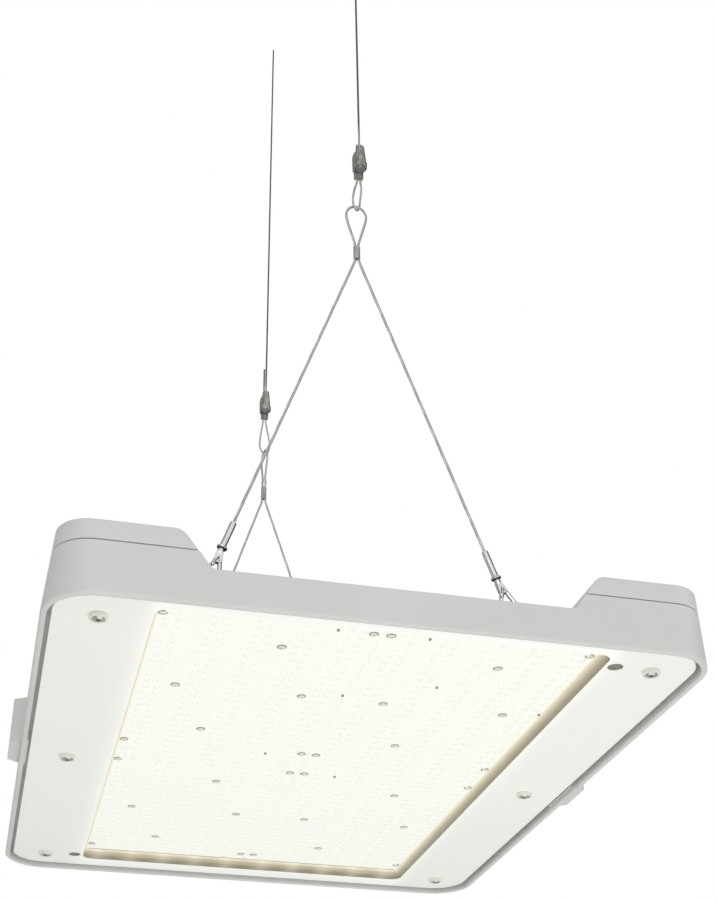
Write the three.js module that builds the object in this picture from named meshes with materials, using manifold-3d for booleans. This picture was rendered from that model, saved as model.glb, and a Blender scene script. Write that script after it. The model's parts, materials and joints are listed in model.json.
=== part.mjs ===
// Suspended LED panel luminaire with two wire rope bridles.
// Millimetres, +Z up. The origin is the centre of the housing's lower rim, +X runs across the short side
// and +Y along the long side, away from the near bridle.
import * as THREE from 'three';
import { mergeVertices } from 'three/addons/utils/BufferGeometryUtils.js';
import Module from 'manifold-3d';

const wasm = await Module();
wasm.setup();

// Driving dimensions.
const GAP = 0.3; // clearance between neighbouring pieces
const SNUG = 0.15; // clearance of a crimp on its rope

const RIM_WIDTH = 471; // along X, at the widest
const RIM_LENGTH = 599; // along Y
const RIM_CORNER = 38; // corner radius in plan, at the rim
const CORNER_TAPER = 0.25; // the corner radius shrinks by this for each millimetre up
const RIM_EDGE = 2.2; // rounding of the lower outer edge
const DRAFT = Math.tan(THREE.MathUtils.degToRad(4.5)); // side walls lean inwards going up
const SEAM_Z = 41; // top of the housing at the driver compartments
const LID_TOP_Z = 57.6;
const LID_EDGE = 1.5;
const LID_BEND = 6; // size of the rounded corner between a lid's top and its slope
const END_WALL_Z = 28.2; // top of the low middle stretch of the two end walls
const DECK_Z = 22; // floor of the open channel that holds the cooling fins
const SLOPE_FOOT_X = 127.4; // where the compartment's sloping inner side meets the low stretch
const SLOPE_RUN = 10 / 14; // sideways travel of that slope for each millimetre up
const CHANNEL_HALF_WIDTH = 127;
const END_WALL = 8;
const COMPARTMENT_INNER_X = 144;
const COMPARTMENT_FLOOR_Z = 20;
const COMPARTMENT_WALL = 5;
const LID_SCREWS = [
  [163, 281],
  [220, 150],
];

const POCKET_WIDTH = 462; // recess that takes the glass
const POCKET_LENGTH = 590;
const POCKET_CORNER = 33.5;
const LEDGE_Z = 11.8; // face that the glass seal presses on
const BOARD_FACE_Z = 14; // face that carries the light-emitting diodes
const BOARD_THICKNESS = 1.6;
const RECESS_HALF_WIDTH = 163.5;
const RECESS_HALF_LENGTH = 272.5;

const GLASS_WIDTH = 457;
const GLASS_LENGTH = 585;
const GLASS_CORNER = 31;
const GLASS_FACE_Z = 4.2;
const GLASS_THICKNESS = 4;
const GLASS_BACK_Z = GLASS_FACE_Z + GLASS_THICKNESS;
const GLASS_SCREW_X = 196.9;
const GLASS_SCREW_Y = 259.9;
const VENT_X = 169.2;
const VENT_Y = 260.9;
const VENT_RADIUS = 5.3;

const OPENING_HALF_WIDTH = 165.3; // foot of the frame's walls, on the glass
const OPENING_HALF_LENGTH = 271;
const OPENING_WALL = 1.2;
const OPENING_LEAN = 8.1 / 5.2; // the long walls lean inwards to the boards by this for each millimetre up
const OPENING_FLANGE = 13.5;

const ABOVE_Z = 60; // any height above the housing and its lids

const FIN_COUNT = 16;
const FIN_PITCH = 11.5;
const FIN_THICKNESS = 2.2;
const FIN_TOP_Z = 38;
const DUCT_HALF_WIDTH = 17; // cable duct that crosses the fins at mid length
const DUCT_TOP_Z = 40;
const GLAND_SEAT_Z = 43; // pad on the duct that the cable gland stands on

const BOSS_FACE_X = 244.5; // flat mounting pads at mid length on the long sides
const BOSS_HALF = 20;

const BRIDLE_Y = 207; // distance of each bridle from mid length
const LUG_SCREW_INSET = 11.3; // a lug's screw stands this far nearer the middle than its hook
const HOOK_Z = 43.1; // height of the hook's rod there, and of the bridle's swing axis
const HOOK_ROD = 2.1; // rod radius
const HOOK_RADIUS = 7.8; // centreline radius of the hook's bow
const ROPE_RADIUS = 1.2; // bridle rope
const ROPE_THROAT = 1.3; // half the distance between the two rope strands in the crimp
const WIRE_RADIUS = 1; // suspension wire
const WIRE_THROAT = 1.2; // half the distance between the wire's two strands in the gripper
const WIRE_TOP_Z = 1129;
const BRIDLE_EYE_HALF_WIDTH = 9;
const WIRE_EYE_HALF_WIDTH = 5.8;
const LINK_DROP = 3.2; // the wire's eye hangs this far below the top of the bridle's eye
const GRIPPER_HEIGHT = 33.5;
const BEND_DROP = 1.2; // the strands start to spread this far below the crimp

// Each side of the suspension is crimped and set by hand, so the two differ a little.
const NEAR = {
  name: 'near',
  y: -BRIDLE_Y,
  hookLeft: 124.1, // sideways distance at which each hook passes through its lug
  hookRight: 121.1,
  crimpZ: 397,
  crimpHeight: 14,
  eyeTopZ: 458,
  eyeTurn: 0,
  wireTurn: -45,
  gripperX: 3.2,
  gripperZ: 492.5,
  tail: 9, // cut end of the wire above the gripper
};
const FAR = {
  name: 'far',
  y: BRIDLE_Y,
  hookLeft: 111.2,
  hookRight: 116,
  crimpZ: 400.5,
  crimpHeight: 16,
  eyeTopZ: 465,
  eyeTurn: -80,
  wireTurn: 0,
  gripperX: -1.2,
  gripperZ: 509,
  tail: 37,
};
const SUSPENSIONS = [NEAR, FAR];

function hookX(side, sign) {
  return sign > 0 ? side.hookRight : side.hookLeft;
}

// Materials.
function finish(color, roughness, metalness) {
  return new THREE.MeshStandardMaterial({ color, roughness, metalness });
}
const PAINT = finish(0xd3d5d2, 0.55, 0.1);
const GLASS = finish(0xe8efe8, 0.08, 0);
const SEAL = finish(0x54565a, 0.9, 0);
const REFLECTOR = finish(0xcdc3a8, 0.6, 0);
const BOARD = finish(0xfbfaf2, 0.5, 0);
const STEEL = finish(0xb9bab8, 0.3, 1);
const COLLAR = finish(0xf1f1ec, 0.5, 0);
const ZINC = finish(0xa3a49e, 0.55, 0.9);
const ROPE = finish(0xb4b4b0, 0.4, 0.9);
const PLASTIC_GREY = finish(0x8a8a80, 0.7, 0);
const DRIVER = finish(0xe2e2de, 0.5, 0.2);
const CABLE = finish(0x2b2c2e, 0.7, 0);

const luminaire = new THREE.Group();

// Solids and booleans.
function toSolid(geometry) {
  const bare = geometry.index ? geometry.toNonIndexed() : geometry.clone();
  bare.deleteAttribute('normal');
  bare.deleteAttribute('uv');
  const merged = mergeVertices(bare, 1e-4);
  const vertProperties = new Float32Array(merged.attributes.position.array);
  const triVerts = new Uint32Array(merged.index.array);
  return new wasm.Manifold(new wasm.Mesh({ numProp: 3, vertProperties, triVerts }));
}

function toGeometry(solid) {
  const mesh = solid.getMesh();
  const geometry = new THREE.BufferGeometry();
  geometry.setAttribute('position', new THREE.BufferAttribute(mesh.vertProperties, 3));
  geometry.setIndex(new THREE.BufferAttribute(mesh.triVerts, 1));
  geometry.computeVertexNormals();
  return geometry;
}

function join(...geometries) {
  return geometries.map(toSolid).reduce((whole, next) => whole.add(next));
}

function cut(solid, ...geometries) {
  return geometries.map(toSolid).reduce((rest, tool) => rest.subtract(tool), solid);
}

// Adds one named piece to a group.
function addPiece(group, name, material, shape) {
  const geometry = shape.isBufferGeometry ? shape : toGeometry(shape);
  const piece = new THREE.Mesh(geometry, material);
  piece.name = name;
  group.add(piece);
  return piece;
}

// Shape makers.
function roundedRectangle(width, length, radius) {
  const x = width / 2 - radius;
  const y = length / 2 - radius;
  const outline = new THREE.Shape();
  outline.absarc(x, -y, radius, -Math.PI / 2, 0);
  outline.absarc(x, y, radius, 0, Math.PI / 2);
  outline.absarc(-x, y, radius, Math.PI / 2, Math.PI);
  outline.absarc(-x, -y, radius, Math.PI, 1.5 * Math.PI);
  return outline;
}

// A flat slab of an outline between two heights, with its edges rounded by edge inside the outline.
function slab(outline, bottom, top, edge = 0, curveSegments = 4) {
  const geometry = new THREE.ExtrudeGeometry(outline, {
    depth: top - bottom - 2 * edge,
    curveSegments,
    bevelEnabled: edge > 0,
    bevelSegments: edge > 1 ? 3 : 1,
    bevelSize: edge,
    bevelThickness: edge,
    bevelOffset: -edge,
  });
  return geometry.translate(0, 0, bottom + edge);
}

function box(x0, x1, y0, y1, z0, z1) {
  const geometry = new THREE.BoxGeometry(x1 - x0, y1 - y0, z1 - z0);
  return geometry.translate((x0 + x1) / 2, (y0 + y1) / 2, (z0 + z1) / 2);
}

function cylinder(radius, x, y, bottom, top, sides = 12) {
  const geometry = new THREE.CylinderGeometry(radius, radius, top - bottom, sides);
  return geometry.rotateX(Math.PI / 2).translate(x, y, (bottom + top) / 2);
}

// A turned piece about +Z. The profile is [radius, height] pairs that start and end on the axis or close.
function turned(profile, sides = 12) {
  const points = profile.map(([radius, height]) => new THREE.Vector2(radius, height));
  return new THREE.LatheGeometry(points, sides).rotateX(Math.PI / 2);
}

// An outline drawn in the XZ plane and drawn out along Y, centred on y = 0.
function alongY(outline, length, curveSegments = 4) {
  const geometry = new THREE.ExtrudeGeometry(outline, { depth: length, bevelEnabled: false, curveSegments });
  return geometry.rotateX(Math.PI / 2).translate(0, length / 2, 0);
}

// An outline drawn in the YZ plane and drawn out along X from x = from.
function alongX(outline, from, length, curveSegments = 4) {
  const geometry = new THREE.ExtrudeGeometry(outline, { depth: length, bevelEnabled: false, curveSegments });
  return geometry.rotateX(Math.PI / 2).rotateZ(Math.PI / 2).translate(from, 0, 0);
}

function polygon(points) {
  return new THREE.Shape(points.map(([x, y]) => new THREE.Vector2(x, y)));
}

// Leans the long walls of a piece inwards by slant for each millimetre above base.
function leanInwards(geometry, base, slant) {
  const position = geometry.attributes.position;
  for (let i = 0; i < position.count; i += 1) {
    const x = position.getX(i);
    position.setX(i, x - Math.sign(x) * slant * (position.getZ(i) - base));
  }
  return geometry;
}

// A slab that follows the housing's drafted outside, set in by inset.
function draftedSlab(inset, bottom, top, edge = 0) {
  const outline = roundedRectangle(RIM_WIDTH - 2 * inset, RIM_LENGTH - 2 * inset, RIM_CORNER - inset);
  const geometry = slab(outline, bottom, top, edge);
  const position = geometry.attributes.position;
  for (let i = 0; i < position.count; i += 1) {
    const rise = position.getZ(i);
    const [x, y] = [position.getX(i), position.getY(i)];
    const fromCentreX = Math.abs(x) - (RIM_WIDTH / 2 - RIM_CORNER);
    const fromCentreY = Math.abs(y) - (RIM_LENGTH / 2 - RIM_CORNER);
    const shrink = (CORNER_TAPER * rise) / Math.hypot(fromCentreX, fromCentreY);
    const drift = (CORNER_TAPER - DRAFT) * rise;
    position.setX(i, x + Math.sign(x) * (drift - fromCentreX * shrink));
    position.setY(i, y + Math.sign(y) * (drift - fromCentreY * shrink));
  }
  return geometry;
}

// A path that takes one step from each station to the next, so a long straight run costs one step.
class StationPath extends THREE.Curve {
  constructor(stations) {
    super();
    this.stations = stations;
  }

  getPoint(t, target = new THREE.Vector3()) {
    const along = t * (this.stations.length - 1);
    const index = Math.min(Math.floor(along), this.stations.length - 2);
    return target.lerpVectors(this.stations[index], this.stations[index + 1], along - index);
  }

  getPointAt(u, target) {
    return this.getPoint(u, target);
  }

  getSpacedPoints(divisions) {
    return this.getPoints(divisions);
  }

  // The mean direction of the two steps that meet at a station.
  getTangentAt(u, target = new THREE.Vector3()) {
    const last = this.stations.length - 1;
    const index = Math.round(u * last);
    const before = this.stations[Math.max(index - 1, 0)];
    const here = this.stations[index];
    const after = this.stations[Math.min(index + 1, last)];
    target.subVectors(here, before).normalize();
    return target.add(new THREE.Vector3().subVectors(after, here).normalize()).normalize();
  }
}

function rod(stations, radius, sides = 6) {
  const section = new THREE.Shape();
  section.absarc(0, 0, radius, 0, 2 * Math.PI);
  const extrudePath = new StationPath(stations);
  return new THREE.ExtrudeGeometry(section, {
    extrudePath,
    steps: stations.length - 1,
    curveSegments: sides / 2,
    bevelEnabled: false,
  });
}

// Stations of a teardrop rope eye: two strands leave the throat at z = 0 and close in a bow at z = length.
// The eye turns about +Z by turn degrees between its throat and turnTop, a share of its length.
function ropeEye(throat, halfWidth, length, turn, turnTop) {
  const widest = 0.755 * length;
  const bowRise = length - widest;
  const side = new THREE.CubicBezierCurve(
    new THREE.Vector2(throat, 0),
    new THREE.Vector2(throat + 0.03 * halfWidth, 0.16 * length),
    new THREE.Vector2(0.99 * halfWidth, 0.58 * length),
    new THREE.Vector2(halfWidth, widest),
  );
  const bow = new THREE.CubicBezierCurve(
    new THREE.Vector2(halfWidth, widest),
    new THREE.Vector2(halfWidth, widest + 0.55 * bowRise),
    new THREE.Vector2(0.55 * halfWidth, length),
    new THREE.Vector2(0, length),
  );
  const right = [...side.getPoints(6), ...bow.getPoints(6).slice(1)];
  const left = right.slice(0, -1).reverse();
  const up = new THREE.Vector3(0, 0, 1);
  const loop = [
    ...right.map((point) => new THREE.Vector3(point.x, 0, point.y)),
    ...left.map((point) => new THREE.Vector3(-point.x, 0, point.y)),
  ];
  return loop.map((point) => {
    const share = THREE.MathUtils.smoothstep(point.z, 0, turnTop * length);
    return point.applyAxisAngle(up, THREE.MathUtils.degToRad(turn) * share);
  });
}

// Where the sloping side of a driver compartment stands at height z.
function slopeX(z) {
  return SLOPE_FOOT_X + (z - END_WALL_Z) * SLOPE_RUN;
}

// Die-cast housing: rim, glass pocket, deck with fins, two open driver compartments and side bosses.
function makeHousing() {
  const side = RIM_WIDTH;
  const footRun = 5; // the slope's foot is rounded between these two distances from its corner
  const footRise = 2.8;
  const slopeStart = END_WALL_Z + footRise;
  const silhouette = new THREE.Shape();
  silhouette.moveTo(-side, -1);
  silhouette.lineTo(side, -1);
  silhouette.lineTo(side, SEAM_Z);
  silhouette.lineTo(slopeX(SEAM_Z), SEAM_Z);
  silhouette.lineTo(slopeX(slopeStart), slopeStart);
  silhouette.quadraticCurveTo(SLOPE_FOOT_X, END_WALL_Z, SLOPE_FOOT_X - footRun, END_WALL_Z);
  silhouette.lineTo(footRun - SLOPE_FOOT_X, END_WALL_Z);
  silhouette.quadraticCurveTo(-SLOPE_FOOT_X, END_WALL_Z, -slopeX(slopeStart), slopeStart);
  silhouette.lineTo(-slopeX(SEAM_Z), SEAM_Z);
  silhouette.lineTo(-side, SEAM_Z);
  const outside = toSolid(draftedSlab(0, 0, LID_TOP_Z, RIM_EDGE));
  let housing = outside.intersect(toSolid(alongY(silhouette, RIM_LENGTH + 2)));

  const halfWidth = CHANNEL_HALF_WIDTH;
  const channelHalfLength = RIM_LENGTH / 2 - END_WALL;
  const channel = box(-halfWidth, halfWidth, -channelHalfLength, channelHalfLength, DECK_Z, ABOVE_Z);
  housing = cut(housing, channel);
  housing = housing.add(makeFins(channelHalfLength)).add(makeDuct());
  for (const sign of [-1, 1]) {
    housing = housing.add(makeSideBoss(sign));
    housing = housing.subtract(compartmentCavity(sign));
    housing = housing.add(lidScrewColumns(sign));
  }
  return cut(housing, ...housingCuts());
}

function makeFins(channelHalfLength) {
  const end = channelHalfLength - 4;
  const fin = polygon([
    [-end, DECK_Z - 1],
    [end, DECK_Z - 1],
    [end, DECK_Z + 3],
    [end - 24, FIN_TOP_Z],
    [24 - end, FIN_TOP_Z],
    [-end, DECK_Z + 3],
  ]);
  const fins = [];
  for (let i = 0; i < FIN_COUNT; i += 1) {
    const x = (i - (FIN_COUNT - 1) / 2) * FIN_PITCH;
    fins.push(alongX(fin, x - FIN_THICKNESS / 2, FIN_THICKNESS));
  }
  return join(...fins);
}

function makeDuct() {
  const chamfer = 3;
  const section = polygon([
    [-DUCT_HALF_WIDTH, DECK_Z - 1],
    [DUCT_HALF_WIDTH, DECK_Z - 1],
    [DUCT_HALF_WIDTH, DUCT_TOP_Z - chamfer],
    [DUCT_HALF_WIDTH - chamfer, DUCT_TOP_Z],
    [chamfer - DUCT_HALF_WIDTH, DUCT_TOP_Z],
    [-DUCT_HALF_WIDTH, DUCT_TOP_Z - chamfer],
  ]);
  const reach = slopeX(DUCT_TOP_Z);
  const glandPad = cylinder(15, 0, 0, DUCT_TOP_Z - 1, GLAND_SEAT_Z, 24);
  return join(alongX(section, -reach, 2 * reach), glandPad);
}

function makeSideBoss(sign) {
  const root = RIM_WIDTH / 2 - 6;
  const plan = polygon([
    [sign * root, -sign * (BOSS_HALF + 7)],
    [sign * BOSS_FACE_X, -sign * BOSS_HALF],
    [sign * BOSS_FACE_X, sign * BOSS_HALF],
    [sign * root, sign * (BOSS_HALF + 7)],
  ]);
  return toSolid(slab(plan, GLASS_FACE_Z, SEAM_Z));
}

// Everything above the rim's plane that lies beyond x on one side.
function beyond(sign, x) {
  const [low, high] = sign > 0 ? [x, RIM_WIDTH] : [-RIM_WIDTH, -x];
  return toSolid(box(low, high, -RIM_LENGTH, RIM_LENGTH, 0, ABOVE_Z));
}

function compartmentCavity(sign) {
  const inside = toSolid(draftedSlab(COMPARTMENT_WALL, COMPARTMENT_FLOOR_Z, ABOVE_Z));
  return inside.intersect(beyond(sign, COMPARTMENT_INNER_X));
}

function lidScrewColumns(sign) {
  const columns = [];
  for (const [x, y] of LID_SCREWS) {
    for (const end of [-1, 1]) {
      columns.push(cylinder(5.5, sign * x, end * y, COMPARTMENT_FLOOR_Z - 1, SEAM_Z - 0.2, 10));
    }
  }
  return join(...columns);
}

function housingCuts() {
  const boardRoom = BOARD_FACE_Z + BOARD_THICKNESS + GAP;
  const recess = roundedRectangle(2 * RECESS_HALF_WIDTH, 2 * RECESS_HALF_LENGTH, 4);
  const passageRadius = 5;
  const passageZ = 31;
  const passageLength = 2 * COMPARTMENT_INNER_X + 10;
  const cablePassage = new THREE.CylinderGeometry(passageRadius, passageRadius, passageLength, 12);
  const cuts = [
    slab(roundedRectangle(POCKET_WIDTH, POCKET_LENGTH, POCKET_CORNER), -1, LEDGE_Z),
    slab(recess, 0, boardRoom, 0, 2),
    cylinder(8.3, 0, 0, DECK_Z + 3, DUCT_TOP_Z + 10, 20),
    cablePassage.rotateZ(Math.PI / 2).translate(0, 0, passageZ),
  ];
  for (const [x, y] of glassScrewPlaces()) {
    cuts.push(cylinder(2.8, x, y, 0, 18.5, 8));
  }
  for (const side of SUSPENSIONS) {
    for (const signX of [-1, 1]) {
      const x = signX * (hookX(side, signX) - LUG_SCREW_INSET);
      cuts.push(cylinder(2.2, x, side.y, 17, DECK_Z + 1, 8));
    }
  }
  return cuts;
}

// The seal groove in each lid, measured from the housing's outside and up from the seam.
const GROOVE_OUTER = 0.9;
const GROOVE_INNER = 4.1;
const GROOVE_DEPTH = 2.4;

// Driver compartment lid: a shallow shell that carries on the housing's outline, with a seal groove.
function makeLid(sign) {
  const bottom = SEAM_Z + 0.8;
  const section = new THREE.Shape();
  section.moveTo(slopeX(bottom), bottom);
  section.lineTo(RIM_WIDTH, bottom);
  section.lineTo(RIM_WIDTH, LID_TOP_Z + 1);
  section.lineTo(slopeX(LID_TOP_Z) + LID_BEND, LID_TOP_Z + 1);
  section.lineTo(slopeX(LID_TOP_Z) + LID_BEND, LID_TOP_Z);
  section.quadraticCurveTo(slopeX(LID_TOP_Z), LID_TOP_Z, slopeX(LID_TOP_Z - LID_BEND), LID_TOP_Z - LID_BEND);
  const block = alongY(section, RIM_LENGTH + 2);
  const outer = toSolid(draftedSlab(0, SEAM_Z - 10, LID_TOP_Z, LID_EDGE));
  const cavity = toSolid(draftedSlab(COMPARTMENT_WALL, SEAM_Z, LID_TOP_Z - 3.4));
  const hollow = cavity.intersect(beyond(1, COMPARTMENT_INNER_X + 6));
  const shell = outer.intersect(toSolid(block)).subtract(hollow);
  const lid = shell.subtract(sealRing(GROOVE_OUTER, GROOVE_INNER, SEAM_Z, SEAM_Z + GROOVE_DEPTH));
  return sign > 0 ? lid : lid.rotate([0, 0, 180]);
}

// A ring that runs round the mouth of the right-hand driver compartment, between two insets from outside.
function sealRing(outerInset, innerInset, bottom, top) {
  const innerSide = COMPARTMENT_INNER_X - COMPARTMENT_WALL;
  const outer = toSolid(draftedSlab(outerInset, bottom, top)).intersect(beyond(1, innerSide + outerInset));
  const inner = toSolid(draftedSlab(innerInset, bottom - 1, top + 1));
  return outer.subtract(inner.intersect(beyond(1, innerSide + innerInset)));
}

function makeLidSeal(sign) {
  const bottom = SEAM_Z + GAP;
  const top = SEAM_Z + GROOVE_DEPTH - GAP;
  const ring = sealRing(GROOVE_OUTER + GAP, GROOVE_INNER - GAP, bottom, top);
  return sign > 0 ? ring : ring.rotate([0, 0, 180]);
}

function glassScrewPlaces() {
  const places = [];
  for (const x of [-GLASS_SCREW_X, GLASS_SCREW_X]) {
    for (const y of [-GLASS_SCREW_Y, 0, GLASS_SCREW_Y]) {
      places.push([x, y]);
    }
  }
  return places;
}

function makeGlass() {
  const outline = roundedRectangle(GLASS_WIDTH, GLASS_LENGTH, GLASS_CORNER);
  const pane = toSolid(slab(outline, GLASS_FACE_Z, GLASS_BACK_Z, 0.6));
  const screwHoles = glassScrewPlaces().map(([x, y]) => cylinder(5.2, x, y, 0, 20));
  const ventHole = VENT_RADIUS + GAP;
  const ventHoles = [-1, 1].map((sign) => cylinder(ventHole, -sign * VENT_X, sign * VENT_Y, 0, 20, 16));
  return cut(pane, ...screwHoles, ...ventHoles);
}

// A flat frame of rectangular section.
function frameRing(halfWidth, halfLength, corner, thickness, bottom, top) {
  const outerWidth = 2 * (halfWidth + thickness);
  const outerLength = 2 * (halfLength + thickness);
  const outer = roundedRectangle(outerWidth, outerLength, corner + thickness);
  const inner = slab(roundedRectangle(2 * halfWidth, 2 * halfLength, corner), bottom - 1, top + 1, 0, 2);
  return cut(toSolid(slab(outer, bottom, top, 0, 2)), inner);
}

// Sheet frame that lines the light opening: leaning long walls, upright end walls and a flange on the glass.
function makeOpeningFrame() {
  const bottom = GLASS_BACK_Z + GAP;
  const top = BOARD_FACE_Z - GAP;
  const across = 1.8 * OPENING_WALL; // the leaning walls are this thick when cut level
  const outside = roundedRectangle(
    2 * (OPENING_HALF_WIDTH + across),
    2 * (OPENING_HALF_LENGTH + OPENING_WALL),
    5,
  );
  const inside = roundedRectangle(2 * OPENING_HALF_WIDTH, 2 * OPENING_HALF_LENGTH, 4);
  const flange = roundedRectangle(
    2 * (OPENING_HALF_WIDTH + OPENING_FLANGE),
    2 * (OPENING_HALF_LENGTH + OPENING_FLANGE),
    8,
  );
  const wall = leanInwards(slab(outside, bottom, top, 0, 2), bottom, OPENING_LEAN);
  const room = leanInwards(slab(inside, bottom - 1, top + 1, 0, 2), bottom, OPENING_LEAN);
  return cut(join(wall, slab(flange, bottom, bottom + OPENING_WALL, 0, 2)), room);
}

// One quarter of the light source: a metal-core board with its fixing holes.
function makeBoard(signX, signY) {
  const margin = GAP;
  const width = 160.7 - margin;
  const length = 268.7 - margin;
  const centreX = (margin + width / 2) * signX;
  const centreY = (margin + length / 2) * signY;
  const plate = slab(roundedRectangle(width, length, 2), BOARD_FACE_Z, BOARD_FACE_Z + BOARD_THICKNESS, 0, 1);
  const fixings = [[6.25, 22.6], [153.9, 22.6], [6.25, 254.1], [153.9, 254.1]];
  const holes = fixings.map(([x, y]) => cylinder(1.9, x * signX, y * signY, 0, 20, 8));
  const inner = [[16, -81], [-48.3, 0], [48.3, 0], [-16, 81]];
  for (const [x, y] of inner) {
    holes.push(cylinder(1.9, signX * 80.5 + x, signY * 138.4 + y, 0, 20, 8));
  }
  return cut(toSolid(plate.translate(centreX, centreY, 0)), ...holes);
}

// White plastic collar: a flange under the glass with a sunk seat for the screw head, and a spigot.
function collarProfile() {
  const face = 0.9;
  const seat = 2.5;
  const back = GLASS_FACE_Z - GAP;
  const top = GLASS_BACK_Z;
  const flange = 6.55;
  const spigot = 4.8;
  const bore = 2.9;
  const mouth = 4.9;
  return [
    [mouth, face],
    [flange, face + 0.5],
    [flange, back],
    [spigot, back],
    [spigot, top],
    [bore, top],
    [bore, seat],
    [mouth, seat],
    [mouth, face],
  ];
}

// Button head screw that holds the glass, pointing up into the housing.
function glassScrewProfile() {
  const head = 4.5;
  const shank = 2.5;
  return [
    [0, 0.2],
    [2.6, 0.2],
    [4.1, 0.9],
    [head, 2.2],
    [shank, 2.2],
    [shank, 17.2],
    [1.7, 18],
    [0, 18],
  ];
}

// Round plug that sits in a hole through the glass.
function makeVentPlug() {
  const face = GLASS_FACE_Z + 0.2;
  return turned(
    [
      [0, face],
      [VENT_RADIUS - 0.3, face],
      [VENT_RADIUS, face + 0.3],
      [VENT_RADIUS, GLASS_BACK_Z],
      [0, GLASS_BACK_Z],
    ],
    16,
  );
}

function addRootPieces() {
  addPiece(luminaire, 'housing', PAINT, makeHousing());
  addPiece(luminaire, 'driver_lid_right', PAINT, makeLid(1));
  addPiece(luminaire, 'driver_lid_left', PAINT, makeLid(-1));
  addPiece(luminaire, 'lid_seal_right', SEAL, makeLidSeal(1));
  addPiece(luminaire, 'lid_seal_left', SEAL, makeLidSeal(-1));
  addPiece(luminaire, 'cover_glass', GLASS, makeGlass());
  addPiece(luminaire, 'glass_seal', SEAL, frameRing(181, 286, 8, 5, GLASS_BACK_Z + GAP, LEDGE_Z - GAP));
  addPiece(luminaire, 'reflector_frame', REFLECTOR, makeOpeningFrame());
  const sides = [['left', -1], ['right', 1]];
  const ends = [['near', -1], ['far', 1]];
  for (const [endName, signY] of ends) {
    for (const [sideName, signX] of sides) {
      addPiece(luminaire, `led_board_${endName}_${sideName}`, BOARD, makeBoard(signX, signY));
    }
  }
  const places = [['near', -GLASS_SCREW_Y], ['middle', 0], ['far', GLASS_SCREW_Y]];
  for (const [placeName, y] of places) {
    for (const [sideName, signX] of sides) {
      const place = `${placeName}_${sideName}`;
      const screw = addPiece(luminaire, `glass_screw_${place}`, STEEL, turned(glassScrewProfile()));
      screw.position.set(signX * GLASS_SCREW_X, y, 0);
      const collar = addPiece(luminaire, `glass_collar_${place}`, COLLAR, turned(collarProfile()));
      collar.position.copy(screw.position);
    }
  }
  addPiece(luminaire, 'vent_plug_near', PLASTIC_GREY, makeVentPlug()).position.set(VENT_X, -VENT_Y, 0);
  addPiece(luminaire, 'vent_plug_far', PLASTIC_GREY, makeVentPlug()).position.set(-VENT_X, VENT_Y, 0);
  addDrivers(sides);
  addCableEntry();
  addLugs(sides);
}

function addDrivers(sides) {
  const x = 184;
  const floor = COMPARTMENT_FLOOR_Z + GAP;
  for (const [sideName, signX] of sides) {
    const driver = slab(roundedRectangle(60, 340, 3), floor, 47, 1.2, 1);
    addPiece(luminaire, `led_driver_${sideName}`, DRIVER, driver).position.set(signX * x, 0, 0);
  }
  const terminals = slab(roundedRectangle(24, 52, 2), floor, 38, 0.8, 1);
  addPiece(luminaire, 'terminal_block', COLLAR, terminals).position.set(-x, 218, 0);
}

// Mains cable entry on top of the duct: gland body, dome nut and a cut length of round cable.
function addCableEntry() {
  const seat = GLAND_SEAT_Z + GAP;
  const bore = 4.8;
  const spigot = 7.8;
  const flange = 12;
  const thread = 8;
  const body = [
    [bore, seat - 12],
    [spigot, seat - 12],
    [spigot, seat],
    [flange, seat],
    [flange, seat + 6],
    [thread, seat + 6],
    [thread, seat + 13],
    [bore, seat + 13],
    [bore, seat - 12],
  ];
  addPiece(luminaire, 'cable_gland_body', PLASTIC_GREY, turned(body, 12));
  const nutBase = seat + 6 + GAP;
  const nutTop = nutBase + 13;
  const nutRoof = nutBase + 9.4; // inner shoulder above the body's threaded end
  const nut = [
    [thread + GAP, nutBase],
    [11.6, nutBase],
    [11.6, nutBase + 8],
    [7.5, nutTop],
    [bore, nutTop],
    [bore, nutRoof],
    [thread + GAP, nutRoof],
    [thread + GAP, nutBase],
  ];
  addPiece(luminaire, 'cable_gland_nut', PLASTIC_GREY, turned(nut, 12));
  addPiece(luminaire, 'mains_cable', CABLE, cylinder(4.4, 0, 0, seat - 14, seat + 62, 12));
}

// Suspension lug: an angle bracket with an ear at x = 0 that a hook passes through.
function makeLug() {
  const halfWidth = 9;
  const thickness = 2.5;
  const footWidth = 21;
  const foot = DECK_Z + GAP;
  const top = HOOK_Z + 6.9;
  const ear = new THREE.Shape();
  ear.moveTo(-halfWidth, foot);
  ear.lineTo(halfWidth, foot);
  ear.absarc(0, top - halfWidth, halfWidth, 0, Math.PI);
  const eye = new THREE.Path();
  eye.absarc(0, HOOK_Z - 1.4, 4, 0, 2 * Math.PI, true);
  ear.holes.push(eye);
  const plate = alongX(ear, -thickness / 2, thickness, 6);
  const base = slab(roundedRectangle(footWidth, 2 * halfWidth, 2), foot, foot + thickness, 0, 1);
  base.translate((thickness - footWidth) / 2, 0, 0);
  return cut(join(plate, base), cylinder(2.6, -LUG_SCREW_INSET, 0, 0, 60, 10));
}

function addLugs(sides) {
  for (const suspension of SUSPENSIONS) {
    for (const [sideName, signX] of sides) {
      const lug = addPiece(luminaire, `suspension_lug_${suspension.name}_${sideName}`, STEEL, makeLug());
      lug.position.set(signX * hookX(suspension, signX), suspension.y, 0);
      lug.rotation.z = signX > 0 ? 0 : Math.PI;
    }
  }
}

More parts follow.
